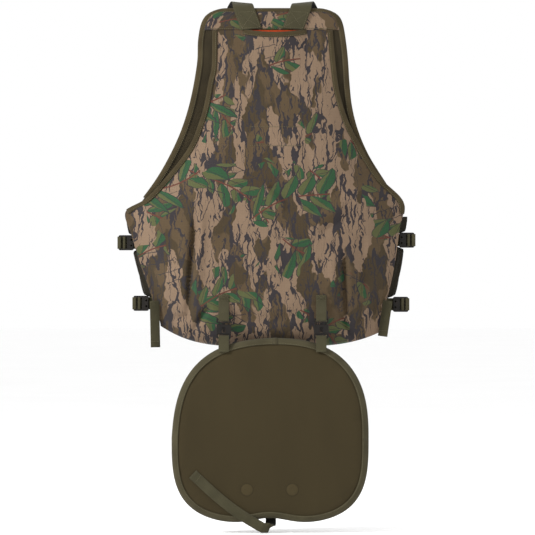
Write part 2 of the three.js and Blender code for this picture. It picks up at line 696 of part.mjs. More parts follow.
// The same plug with its arms in one piece, for the waist.
function joinedPlug() {
  let body = solid(clipPlug());
  for (const side of [-1, 1]) {
    body = body.add(solid(latchArm(side).translate(side * ARM_X, 0, PLUG_ROOT + 1.6)));
  }
  return geometryOf(body);
}

// ---- seat clips: the plug hangs from the bag, and the socket carries the seat ----
const clipY = bagFace(CLIP_X[0], -560) - CLIP_PROUD;
const PLY_GAP = 0.4;
const seatHingeY = clipY - CLIP_THICK / 2 - 2;
const seatFront = seatHingeY + 5.8; // outer face of the seat
const tabY = seatFront - SEWN_GAP - WEB_THICK - PLY_GAP / 2;
const socketBarZ = CLIP_TOP - CLIP_HIGH + BAR / 2 + 0.5;
const SIDES = ["left", "right"];
CLIP_X.forEach((x, i) => {
  const name = SIDES[i];
  const holder = new THREE.Group();
  holder.position.set(x, clipY, CLIP_TOP);
  vest.add(holder);
  addPlug(name, holder);
  add(`clip_socket_${name}`, clipSocket(), plastic(), holder);

  // Webbing from the bag, through the plug's frame, round its bar and a little way back.
  const face = (z) => Math.min(...[-10, 0, 10].map((dx) => bagFace(x + dx, z))) - SEWN_GAP - WEB_THICK / 2;
  const barZ = CLIP_TOP - BAR / 2;
  const bagWeb = [
    v3(x, face(-557), -557),
    v3(x, face(-568), -568),
    v3(x, clipY - LOOP_R - 0.2, -592),
    ...barTurn(x, clipY, barZ, -Math.PI, 0),
    v3(x, clipY + LOOP_R - 0.2, barZ + 5),
  ];
  add(`bag_web_${name}`, strap(bagWeb, v3(1, 0, 0), WEB_NARROW), webbing());

  // The seat's web goes round the socket's bar and both plies come forward to the fold line.
  const innerY = tabY + (WEB_THICK + PLY_GAP) / 2;
  const loop = [
    v3(x, innerY, SEAT_HINGE_Z + CLEAR),
    v3(x, innerY, SEAT_HINGE_Z + 3),
    ...barTurn(x, clipY, socketBarZ, -0.75, Math.PI),
    v3(x, innerY - WEB_THICK - PLY_GAP, SEAT_HINGE_Z + 3),
    v3(x, innerY - WEB_THICK - PLY_GAP, SEAT_HINGE_Z + CLEAR),
  ];
  add(`socket_loop_${name}`, strap(loop, v3(1, 0, 0), WEB_NARROW), webbing());
});

// ---- seat pad ----
// Half-width and height of the outline as one closed curve about the seat's middle.
function seatOutline(inset = 0, count = 48) {
  return Array.from({ length: count }, (_, i) => {
    const a = (2 * Math.PI * i) / count;
    const [c, s] = [Math.cos(a), Math.sin(a)];
    const high = (s > 0 ? SEAT.up : SEAT.down) - inset;
    const power = s > 0 ? SEAT_ROUND_UP : SEAT_ROUND_DOWN;
    const half = SEAT.wide / 2 - inset;
    const r = ((Math.abs(c) / half) ** power + (Math.abs(s) / high) ** power) ** (-1 / power);
    const x = r * c;
    const notch = s < 0 ? SEAT_NOTCH * Math.exp(-((x / SEAT_NOTCH_WIDE) ** 2)) : 0;
    return new THREE.Vector2(x, r * s + notch);
  });
}
// The seat's middle hangs so that its upper edge clears the fold line at the nearer clip.
const nearClip = Math.min(...CLIP_X.map(Math.abs)) / (SEAT.wide / 2);
const riseAtClip = SEAT.up * (1 - nearClip ** SEAT_ROUND_UP) ** (1 / SEAT_ROUND_UP);
const seatMid = SEAT_HINGE_Z - SEAT_UNDER_FOLD - riseAtClip;
function seatSlab(front, thick, inset = 0) {
  const shape = new THREE.Shape(seatOutline(inset));
  return plate(shape, thick, 0).translate(0, front + thick / 2, seatMid);
}
const coreFront = seatFront + COVER + CLEAR;
let seatCore = solid(seatSlab(coreFront, SEAT.thick));
const magnetX = [MAGNET.offset - MAGNET.spread, MAGNET.offset + MAGNET.spread];
const magnetZ = seatMid - MAGNET.drop;
for (const x of magnetX) {
  const depth = MAGNET.thick + CLEAR;
  const recess = new THREE.CylinderGeometry(MAGNET.r + CLEAR, MAGNET.r + CLEAR, 2 * depth, 20);
  seatCore = seatCore.subtract(solid(recess.translate(x, coreFront, magnetZ)));
}
add("seat_foam", geometryOf(seatCore), foam());
magnetX.forEach((x, i) => {
  const disc = new THREE.CylinderGeometry(MAGNET.r, MAGNET.r, MAGNET.thick, 20);
  add(`seat_magnet_${SIDES[i]}`, disc.translate(x, coreFront + MAGNET.thick / 2, magnetZ), steel());
});
// The covers end where the edge tape begins.
const coverInset = SEAT_BINDING + CLEAR;
add("seat_cover_outer", seatSlab(seatFront, COVER, coverInset), seatCloth());
const seatBack = seatFront + 2 * COVER + SEAT.thick + 2 * CLEAR;
add("seat_cover_inner", seatSlab(seatBack - COVER, COVER, coverInset), seatCloth());
const seatMiddle = v3(0, (seatFront + seatBack) / 2, seatMid);
const seatRim = seatOutline().map((p) => seatMiddle.clone().add(v3(p.x, 0, p.y)));
const fromSeat = (i) => seatRim[i].clone().sub(seatMiddle);
add("seat_binding", sweep(seatRim, fromSeat, tapeSection(SEAT.thick, SEAT_BINDING), true), tape());

CLIP_X.forEach((x, i) => {
  const path = [v3(x, tabY, SEAT_HINGE_Z - CLEAR), v3(x, tabY, SEAT_HINGE_Z - 19)];
  add(`seat_tab_${SIDES[i]}`, strap(path, v3(1, 0, 0), WEB_NARROW, 2 * WEB_THICK), webbing());
});

// The carry strap is sewn behind the seat's lower edge, and its free end is laid up across the outer face.
const SEAT_LOW = seatMid - SEAT.down + SEAT_NOTCH;
const STRAP_FOLD = { x: -10, z: SEAT_LOW - 18 };
const STRAP_END = { x: -143, z: seatMid - 68 };
const rootX = 1;
const rootPath = [
  v3(rootX, seatBack + SEWN_GAP + WEB_THICK / 2, SEAT_LOW + 10.5),
  v3(rootX, seatBack + SEWN_GAP + WEB_THICK / 2, SEAT_LOW - 4),
  v3(rootX, seatBack - 4, SEAT_LOW - 12),
  v3(rootX - 2, seatFront + 8, SEAT_LOW - 16),
  v3(rootX - 6, seatFront + 2.4, SEAT_LOW - 18),
];
add("carry_strap_root", strap(rootPath, v3(1, 0, 0), WEB_NARROW), webbing());
const strapY = seatFront - SEWN_GAP - WEB_THICK / 2;
const run = v3(STRAP_END.x - STRAP_FOLD.x, 0, STRAP_END.z - STRAP_FOLD.z);
const runWay = run.clone().normalize();
const acrossRun = v3(runWay.z, 0, -runWay.x);
const foldAt = v3(STRAP_FOLD.x, strapY, STRAP_FOLD.z);
const tailPath = [0, 0.34, 0.67, 1].map((f) => foldAt.clone().addScaledVector(run, f));
add("carry_strap_tail", strap(tailPath, acrossRun, WEB_NARROW), webbing());

// ---- free tails of the lower adjusters: they lie over the bag's lower corners and hang below it ----
const TAIL_TOP = -568;
const TAIL_TURN = Math.atan(0.35); // each tail is turned a little out of the vest's face
const TAILS = [
  { name: "left", side: -1, inner: -208, proud: 11.2, low: VEST_BOTTOM - 11, drift: 2 },
  { name: "right", side: 1, inner: 220, proud: 9.8, low: VEST_BOTTOM + 10, drift: -10 },
];
for (const { name, side, inner, proud, low, drift } of TAILS) {
  const wide = WEB_NARROW - 1;
  // Its inner edge lies just off the bag, and its width goes outward from there.
  const x = inner + (side * Math.cos(TAIL_TURN) * wide) / 2;
  const y = backY(inner) - proud - (Math.sin(TAIL_TURN) * wide) / 2;
  const path = [0, 0.3, 0.65, 1].map((f) => v3(x + drift * f, y, lerp(TAIL_TOP, low, f)));
  add(`adjuster_tail_${name}`, strap(path, v3(1, -side * Math.tan(TAIL_TURN), 0), wide), webbing());
}

// ---- waist strap: a plug on the left panel and a socket on the right, hanging open ----
const WAIST_Z = -506;
const WAIST_DROP = 34; // webbing between the panel's edge and the clip
const WAIST_X = 46;
const panelFace = frontY(WAIST_X) + FRONT_THICK + TAPE_ROOM + BINDING_THICK + SEWN_GAP + WEB_THICK / 2;
const waistY = panelFace + 9;
for (const [name, side] of [["left", -1], ["right", 1]]) {
  const holder = new THREE.Group();
  const top = WAIST_Z - WAIST_DROP;
  holder.position.set(side * WAIST_X, waistY, name === "left" ? top : top + CLIP_HIGH);
  vest.add(holder);
  if (name === "left") add("clip_plug_waist", joinedPlug(), plastic(), holder);
  else {
    const turned = new THREE.Group();
    turned.rotation.y = Math.PI;
    turned.position.z = 0.5 - 2 * CLIP_HIGH;
    holder.add(turned);
    add("clip_socket_waist", clipSocket(), plastic(), turned);
  }
  const barZ = top - BAR / 2;
  const x = side * WAIST_X;
  const path = [
    v3(x, panelFace, WAIST_Z + 24),
    v3(x, panelFace, WAIST_Z - 8),
    v3(x, waistY - LOOP_R, WAIST_Z - 24),
    ...barTurn(x, waistY, barZ, -Math.PI, 0),
    v3(x, waistY + LOOP_R, barZ + 14),
  ];
  add(`waist_web_${name}`, strap(path, v3(1, 0, 0), WEB_NARROW), webbing());
}

export default vest;
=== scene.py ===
import math

import bpy
import numpy as np
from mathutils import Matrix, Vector, noise
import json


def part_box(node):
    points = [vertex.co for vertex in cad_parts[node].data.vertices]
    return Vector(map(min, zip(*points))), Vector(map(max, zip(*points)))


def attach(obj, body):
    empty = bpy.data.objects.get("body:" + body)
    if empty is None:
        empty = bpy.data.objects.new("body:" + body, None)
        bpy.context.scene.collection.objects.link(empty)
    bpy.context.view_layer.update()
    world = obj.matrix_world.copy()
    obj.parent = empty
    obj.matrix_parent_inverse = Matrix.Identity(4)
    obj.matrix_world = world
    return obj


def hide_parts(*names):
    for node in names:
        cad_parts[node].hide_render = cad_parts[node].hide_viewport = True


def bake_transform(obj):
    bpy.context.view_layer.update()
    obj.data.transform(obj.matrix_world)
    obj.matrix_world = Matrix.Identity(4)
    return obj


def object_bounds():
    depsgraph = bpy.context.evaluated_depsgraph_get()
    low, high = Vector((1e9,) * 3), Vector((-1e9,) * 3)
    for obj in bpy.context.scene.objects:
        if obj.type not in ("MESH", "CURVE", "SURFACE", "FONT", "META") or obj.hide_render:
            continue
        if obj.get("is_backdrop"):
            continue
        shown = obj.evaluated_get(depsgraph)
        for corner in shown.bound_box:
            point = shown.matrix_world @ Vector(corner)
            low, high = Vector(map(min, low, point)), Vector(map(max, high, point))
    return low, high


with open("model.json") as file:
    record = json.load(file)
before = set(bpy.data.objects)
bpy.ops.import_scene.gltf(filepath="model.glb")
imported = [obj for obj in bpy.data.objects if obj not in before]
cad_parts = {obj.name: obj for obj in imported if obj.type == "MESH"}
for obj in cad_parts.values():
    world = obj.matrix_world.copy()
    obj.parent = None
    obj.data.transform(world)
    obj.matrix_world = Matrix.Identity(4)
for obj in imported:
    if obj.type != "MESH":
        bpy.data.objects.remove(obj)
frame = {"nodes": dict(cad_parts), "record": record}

# Strap vest for field use, seen from behind: a printed game bag on an olive back panel, two swing-open fronts,
# four strap adjusters at the waist and a padded seat on two side-release clips. Metres, +Z up, wearer faces +Y.

# ---- the studio: a camera square to the vest's back, a pale floor and soft light ----
cad_low, cad_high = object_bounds()
scene = bpy.context.scene
scene.view_settings.view_transform = "Standard"
scene.view_settings.look = "None"

VIEW_WIDE = 1.0165
VIEW_FROM = 9.0
VIEW_MID_X, VIEW_MID_Z = -0.001, -0.5045
NEAR_FACE = -0.085
camera = bpy.data.objects.new("camera", bpy.data.cameras.new("camera"))
camera.data.lens = camera.data.sensor_width * VIEW_FROM / VIEW_WIDE
camera.location = (VIEW_MID_X, NEAR_FACE - VIEW_FROM, VIEW_MID_Z)
camera.rotation_euler = (math.pi / 2, 0, 0)
camera.data.clip_end = 60
scene.collection.objects.link(camera)
scene.camera = camera


def soft_box(name, place, aim, wide, power):
    light = bpy.data.objects.new(name, bpy.data.lights.new(name, "AREA"))
    light.data.shape = "RECTANGLE"
    light.data.size = light.data.size_y = wide
    light.data.energy = power
    light.location = place
    light.rotation_euler = (Vector(aim) - Vector(place)).to_track_quat("-Z", "Y").to_euler()
    scene.collection.objects.link(light)


soft_box("key_light", (-2.3, -1.7, 1.0), (0, 0, -0.4), 0.6, 110)
soft_box("side_light", (2.2, -1.2, 0.3), (0, 0, -0.5), 0.9, 12)
soft_box("back_light", (0.3, 2.4, 1.0), (0, 0, -0.4), 1.6, 12)

world = bpy.data.worlds.new("pale_room")
world.use_nodes = True
world.node_tree.nodes["Background"].inputs["Color"].default_value = (1, 1, 1, 1)
world.node_tree.nodes["Background"].inputs["Strength"].default_value = 1.0
scene.world = world


def mesh_piece(name, points, faces, uv=None, smooth=True):
    """A new object from points and faces; uv gives each point's place on the flat cloth, in metres."""
    mesh = bpy.data.meshes.new(name)
    mesh.from_pydata([tuple(map(float, p)) for p in points], [], faces)
    if uv is not None:
        layer = mesh.uv_layers.new(name="cloth")
        index = np.zeros(len(mesh.loops), np.int32)
        mesh.loops.foreach_get("vertex_index", index)
        layer.data.foreach_set("uv", np.asarray(uv, np.float32)[index].ravel())
    if smooth:
        mesh.polygons.foreach_set("use_smooth", [True] * len(mesh.polygons))
    mesh.validate()
    mesh.update()
    piece = bpy.data.objects.new(name, mesh)
    scene.collection.objects.link(piece)
    return piece


FLOOR_Z, FLOOR_REACH = cad_low.z - 0.003, 30
floor_corners = [(x * FLOOR_REACH, y * FLOOR_REACH, FLOOR_Z) for x, y in ((-1, -1), (1, -1), (1, 1), (-1, 1))]
floor = mesh_piece("floor", floor_corners, [(0, 1, 2, 3)])
floor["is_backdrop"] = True


# ---- dyes and weaves: the first materials, and how each is mixed ----
# Cloth is coloured over its flat cut, in metres, so a print or a rib follows the cloth where it bends.
STUDIO_LIGHT = 1.9


def dye(red, green, blue, light=STUDIO_LIGHT):
    """A colour as it looks under the studio's light, as the share of light that the dye gives back."""
    return tuple(((c / 255 + 0.055) / 1.055) ** 2.4 / light for c in (red, green, blue)) + (1,)


def new_finish(name, **fixed):
    material = bpy.data.materials.new(name)
    material.use_nodes = True
    shader = material.node_tree.nodes["Principled BSDF"]
    for socket, value in fixed.items():
        shader.inputs[socket.replace("_", " ")].default_value = value
    return material, material.node_tree, shader


def put(tree, kind, wires=(), **settings):
    """Adds a node. wires maps an input, by name or number, to a number, a colour or another node's output."""
    node = tree.nodes.new("ShaderNode" + kind)
    for key, value in settings.items():
        setattr(node, key, value)
    for key, value in dict(wires).items():
        if isinstance(value, bpy.types.NodeSocket):
            tree.links.new(value, node.inputs[key])
        else:
            node.inputs[key].default_value = value
    return node


def calc(tree, operation, *values):
    return put(tree, "Math", dict(enumerate(values)), operation=operation).outputs[0]


def blend_dye(tree, share, first, second):
    return put(tree, "Mix", {0: share, 6: first, 7: second}, data_type="RGBA").outputs[2]


def step_up(tree, value, low, high):
    return put(tree, "MapRange", {0: value, 1: low, 2: high}, clamp=True).outputs[0]


def grain(tree, place, scale, detail=2.0, rough=0.5):
    wires = {"Vector": place, "Scale": scale, "Detail": detail, "Roughness": rough}
    return put(tree, "TexNoise", wires).outputs[0]


def stretched(tree, place, x, y, z=1.0, shift=(0, 0, 0)):
    return put(tree, "Mapping", {"Vector": place, "Scale": (x, y, z), "Location": shift}).outputs[0]


def relief(tree, shader, height, depth, strength=1.0):
    bump = put(tree, "Bump", {"Height": height, "Distance": depth, "Strength": strength})
    tree.links.new(bump.outputs[0], shader.inputs["Normal"])


def flat_place(tree):
    return put(tree, "UVMap", uv_map="cloth").outputs[0]


def body_place(tree):
    return put(tree, "TexCoord").outputs["Object"]


def ribs(tree, place, axis, pitch):
    """A wave from 0 to 1 along one axis of the cloth, one crest to each pitch."""
    part = put(tree, "SeparateXYZ", {0: place}).outputs[axis]
    wave = calc(tree, "SINE", calc(tree, "MULTIPLY", part, 2 * math.pi / pitch))
    return calc(tree, "MULTIPLY_ADD", wave, 0.5, 0.5)


def woven(name, light, dark, rib=(0.0011, 0.0016), depth=0.00025, rough=0.95, sheen=0.05, across=(1, 1), flat=True):
    """Plain dyed cloth: two close tones, a warp and weft of given pitch, wear along raised threads."""
    material, tree, shader = new_finish(name, Roughness=rough, Sheen_Weight=sheen, Sheen_Roughness=0.6)
    shader.inputs["Specular IOR Level"].default_value = 0.12
    place = flat_place(tree) if flat else body_place(tree)
    warp = ribs(tree, place, 0, rib[0])
    weft = ribs(tree, place, 1 if flat else 2, rib[1])
    threads = calc(tree, "ADD", calc(tree, "MULTIPLY", warp, across[0]), calc(tree, "MULTIPLY", weft, across[1]))
    cloud = grain(tree, place, 26, 3)
    fleck = grain(tree, place, 900, 1)
    tone = calc(tree, "ADD", calc(tree, "MULTIPLY", cloud, 0.7), calc(tree, "MULTIPLY", fleck, 0.3))
    tone = calc(tree, "MULTIPLY_ADD", threads, 0.14, calc(tree, "SUBTRACT", tone, 0.12))
    colour = blend_dye(tree, step_up(tree, tone, 0.25, 0.8), dark, light)
    tree.links.new(colour, shader.inputs["Base Color"])
    relief(tree, shader, calc(tree, "ADD", threads, calc(tree, "MULTIPLY", fleck, 0.5)), depth)
    return material


olive_cloth = woven("olive_cloth", dye(72, 62, 40), dye(50, 42, 25), (0.0012, 0.0012))
grosgrain = woven("grosgrain", dye(96, 84, 57), dye(66, 56, 35), (0.004, 0.0013), 0.0003, across=(0.15, 1))
seam_tape = woven("seam_tape", dye(100, 93, 68), dye(72, 66, 46), (0.004, 0.0013), 0.0003, across=(0.15, 1))
web_weave = woven("web_weave", dye(96, 91, 66), dye(66, 62, 43), (0.0021, 0.0012), 0.00035, across=(1, 0.5))
# Painted shade: a darker copy of the webbing, put on the straps' undersides where they lie in shadow.
painted_shade_web = woven("painted_shade_web", dye(36, 32, 24), dye(20, 18, 12), (0.0021, 0.0012), 0.00035, across=(1, 0.5))
stitch_thread = woven("stitch_thread", dye(128, 121, 92), dye(100, 93, 68), (0.0006, 0.0006), 0.0001, flat=False)
dark_thread = woven("dark_thread", dye(40, 34, 24), dye(24, 20, 13), (0.0006, 0.0006), 0.0001, flat=False)

material, tree, shader = new_finish("studio_paper", Roughness=0.9)
tree.links.new(
    blend_dye(tree, grain(tree, body_place(tree), 2.5), dye(251, 251, 251, 1), dye(255, 255, 255, 1)),
    shader.inputs["Base Color"],
)
floor.data.materials.append(material)

home = {n: body for body, nodes in frame["record"]["behaviour"]["bodies"].items() for n in nodes}


def fix(piece, material, slot, *nodes, body=None):
    """Gives a piece its material and body, and lets it stand for the plain solids that it replaces."""
    piece.data.materials.append(material)
    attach(piece, body or home[nodes[0]])
    if nodes:
        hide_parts(*nodes)
    return piece


# ---- back panel: quilted olive cloth, bound along the neck and armholes ----
# Two layers of cloth over 6 mm of wadding, cut to the vest's outline and curved a little round the wearer's back.
def through(points, steps=6):
    """A smooth path through points."""
    p = np.array([points[0], *points, points[-1]], float)
    run = []
    for a, b, c, d in zip(p, p[1:], p[2:], p[3:]):
        for t in np.linspace(0, 1, steps, endpoint=False):
            bend = (2 * a - 5 * b + 4 * c - d) * t**2
            run.append(0.5 * (2 * b + (c - a) * t + bend + (3 * b - a - 3 * c + d) * t**3))
    return run + [p[-1]]


def cut_line(*points):
    """A smooth edge through [x, z] points in millimetres, from the top down, as a function from z to x in metres."""
    run = np.array(through(np.array(points, float) / 1000, 12))
    return lambda z: float(np.interp(-z, -run[:, 1], run[:, 0]))


back_left = cut_line(
    (-90, -12), (-108, -17), (-119, -27), (-126, -42), (-131, -72), (-132, -108), (-139, -154), (-149, -199),
    (-164, -245), (-185, -291), (-211, -336), (-242, -378), (-262, -400), (-256, -441), (-241, -486), (-217, -559),
    (-200, -608), (-199, -650),
)
back_right = cut_line(
    (106, -12), (124, -17), (135, -27), (141, -42), (146, -72), (150, -108), (153, -154), (158, -199), (170, -245),
    (190, -291), (218, -336), (238, -366), (253, -388), (246, -431), (237, -495), (226, -545), (208, -606),
    (205, -650),
)
VEST_TOP = -0.012
VEST_FOOT = -0.656
FOOT_RISE = (0.0395, 0.027)
PANEL_THICK = 0.006


def mix(a, b, t):
    return a + (b - a) * t


def hold(t, low=0.0, high=1.0):
    return min(high, max(low, t))


def ease(t):
    t = hold(t)
    return t * t * (3 - 2 * t)


def back_y(x):
    return -0.040 + 0.46 * x * x


def foot_z(s):
    return VEST_FOOT + FOOT_RISE[s > 0.5] * abs(2 * s - 1) ** 3.7


def ripple(x, z, size, seed):
    return noise.noise(Vector((x / size, seed, z / size)))


def cloth_piece(name, at, cols, rows, thick, flat, flip=False):
    """A sheet from at(s, t): s runs to +X and t runs down. Its thickness goes forward, or backward if flip is set."""
    face = np.array([[at(i / cols, j / rows) for i in range(cols + 1)] for j in range(rows + 1)], float)
    normal = np.cross(np.gradient(face, axis=1), np.gradient(face, axis=0))
    normal /= np.maximum(np.linalg.norm(normal, axis=2, keepdims=True), 1e-12)
    other = face + normal * (-thick if flip else thick)
    count = (cols + 1) * (rows + 1)
    points = np.vstack([face.reshape(-1, 3), other.reshape(-1, 3)])
    s, t = np.meshgrid(np.linspace(0, 1, cols + 1), np.linspace(0, 1, rows + 1))
    uv = np.dstack([(s - 0.5) * flat[0], -t * flat[1]]).reshape(-1, 2)
    faces = []
    for j in range(rows):
        for i in range(cols):
            k = j * (cols + 1) + i
            low = k + cols + 1
            faces.append((k, low, low + 1, k + 1))
            faces.append((count + k, count + k + 1, count + low + 1, count + low))
    rim = [i for i in range(cols)] + [j * (cols + 1) + cols for j in range(rows)]
    rim += [rows * (cols + 1) + i for i in range(cols, 0, -1)] + [j * (cols + 1) for j in range(rows, 0, -1)]
    for a, b in zip(rim, rim[1:] + rim[:1]):
        faces.append((a, b, count + b, count + a))
    if flip:
        faces = [f[::-1] for f in faces]
    return mesh_piece(name, points, faces, np.vstack([uv, uv]))


def back_at(s, t):
    z = mix(VEST_TOP, foot_z(s) + 0.006, t)
    left, right = back_left(z), back_right(z)
    x = mix(left, right, s)
    inside = min(x - left, right - x)
    soft = ease((inside - 0.006) / 0.01) * ease((VEST_TOP - z - 0.06) / 0.1) * ease((z + 0.6) / 0.06)
    return x, back_y(x) + (0.0010 + 0.0016 * ripple(x, z, 0.035, 3.1)) * soft, z


back_panel = cloth_piece("back_panel_quilt", back_at, 64, 110, PANEL_THICK, (0.52, 0.64))
fix(back_panel, olive_cloth, "olive_quilt", "back_panel")


def tape_section(half, lap, thick=0.0011):
    """The folded tape's section: u is outward past the cloth's edge, v is off the cloth's face."""
    nose = [(half * 0.75 * math.cos(a), half * math.sin(a)) for a in np.radians([65, 35, 0, -35, -65])]
    outer = [(-lap, half * 0.9), (-lap * 0.55, half * 1.04), (-lap * 0.15, half)] + nose
    outer += [(-lap * 0.15, -half), (-lap * 0.55, -half * 1.04), (-lap, -half * 0.9)]
    inner = [(-lap, thick - half), (0, thick - half), (0, half - thick), (-lap, half - thick)]
    return outer + inner


def carried(name, path, sides, section, closed=False, swell=None, square=True):
    """A section of (side, face) points carried along a path. sides gives the section's first axis at each point."""
    path = np.asarray(path, float)
    count, m = len(path), len(section)
    if closed:
        way = np.roll(path, -1, 0) - np.roll(path, 1, 0)
    else:
        way = np.gradient(path, axis=0)
    way /= np.linalg.norm(way, axis=1, keepdims=True)
    sides = np.asarray(sides, float) * np.ones((count, 1))
    if square:
        sides = sides - way * (sides * way).sum(1, keepdims=True)
        sides /= np.linalg.norm(sides, axis=1, keepdims=True)
    face = np.cross(way, sides)
    face /= np.linalg.norm(face, axis=1, keepdims=True)
    run = np.concatenate([[0], np.cumsum(np.linalg.norm(np.diff(path, axis=0), axis=1))])
    points, uv = [], []
    for i in range(count):
        grow = swell(i / (count - 1)) if swell else 1
        for u, v in section:
            points.append(path[i] + sides[i] * u + face[i] * v * grow)
            uv.append((u + v * 0.3, run[i]))
    faces = []
    for i in range(count if closed else count - 1):
        a, b = i * m, ((i + 1) % count) * m
        faces += [(a + k, a + (k + 1) % m, b + (k + 1) % m, b + k) for k in range(m)]
    if not closed:
        faces += [tuple(range(m))[::-1], tuple(range((count - 1) * m, count * m))]
    volume = sum(
        np.dot(points[f[0]], np.cross(points[f[j]], points[f[j + 1]])) for f in faces for j in range(1, len(f) - 1)
    )
    if volume < 0:
        faces = [f[::-1] for f in faces]
    return mesh_piece(name, points, faces, uv)


def edge_places(at, places, depth):
    """Points on a cloth's rim, mid-thickness, and the ways out past its edge. places are (s, t) in order."""
    path = [Vector(at(s, t)) + Vector((0, depth / 2, 0)) for s, t in places]
    ways = [Vector(at(s, t)) - Vector(at(mix(s, 0.5, 0.05), mix(t, 0.5, 0.02))) for s, t in places]
    return path, ways


def run_of(start, end, steps):
    return [(mix(start[0], end[0], i / steps), mix(start[1], end[1], i / steps)) for i in range(steps)]


ARMPIT_T = 0.6
back_rim = run_of((0, ARMPIT_T), (0, 0), 90) + run_of((0, 0), (1, 0), 50) + run_of((1, 0), (1, ARMPIT_T), 90)
BINDING_LAP = 0.0088
path, ways = edge_places(back_at, back_rim, PANEL_THICK)


def smoothed(values, reach=3):
    """Evens out a run of points, so that tape rounds a corner instead of breaking at it."""
    v = np.asarray(values, float)
    for _ in range(reach):
        v[1:-1] = (v[:-2] + 2 * v[1:-1] + v[2:]) / 4
    return v


path, ways = smoothed(path), smoothed(ways, 6)
back_tape = carried("back_binding_tape", path, ways, tape_section(0.0042, BINDING_LAP))
fix(back_tape, grosgrain, "edge_tape", "back_binding")


def sewn(name, runs, body, thread=stitch_thread, pitch=0.0036, thick=0.0006):
    """Lock stitches along runs of points that lie on a cloth's face; one mesh holds all of a seam's stitches."""
    points, faces = [], []
    for run in runs:
        run = np.asarray(run, float)
        gone = np.concatenate([[0], np.cumsum(np.linalg.norm(np.diff(run, axis=0), axis=1))])
        for k in range(int(gone[-1] / pitch)):
            a, b = (np.array([np.interp(g, gone, run[:, c]) for c in range(3)])
                    for g in (k * pitch, (k + 0.68) * pitch))
            way = (b - a) / max(np.linalg.norm(b - a), 1e-9)
            up = np.cross(way, (0, 0, 1)) if abs(way[2]) < 0.8 else np.cross(way, (1, 0, 0))
            up /= np.linalg.norm(up)
            other = np.cross(way, up)
            first = len(points)
            points.append(a)
            for share in (0.25, 0.75):
                for turn in range(4):
                    c, s = math.cos(turn * math.pi / 2), math.sin(turn * math.pi / 2)
                    points.append(a + (b - a) * share + (up * c + other * s) * thick)
            points.append(b)
            for q in range(4):
                r = (q + 1) % 4
                faces += [(first, first + 1 + r, first + 1 + q), (first + 9, first + 5 + q, first + 5 + r)]
                faces.append((first + 1 + q, first + 1 + r, first + 5 + r, first + 5 + q))
    piece = mesh_piece(name, points, faces, smooth=False)
    piece.data.materials.append(thread)
    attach(piece, body)
    return piece


def offset_run(path, ways, inward, off):
    """A seam that follows a bound edge: inward from it, and off the cloth's face toward the rear."""
    path, ways = np.asarray(path), np.asarray(ways)
    ways = ways / np.linalg.norm(ways, axis=1, keepdims=True)
    return path - ways * inward + np.array([0, -off, 0])


tape_seam = offset_run(path, ways, BINDING_LAP - 0.0018, 0.0042)
liner_seam = offset_run(path, ways, 0.0102, 0.0034)
sewn("back_binding_stitches", [tape_seam], "back")
sewn("back_panel_stitches", [liner_seam], "back", dark_thread, 0.0056)

# ---- camouflage print: bark and leaves over ripstop ----
# A print of the maker's own: plates of tan and brown bark split by dark cracks, crossed by leafy twigs.
TAN, MID_BROWN, DARK_BROWN = dye(146, 122, 100), dye(97, 80, 58), dye(78, 65, 46)
CRACK, LEAF_GREEN, LEAF_OLIVE, TWIG = dye(60, 55, 57), dye(52, 88, 58), dye(94, 98, 62), dye(104, 62, 50)


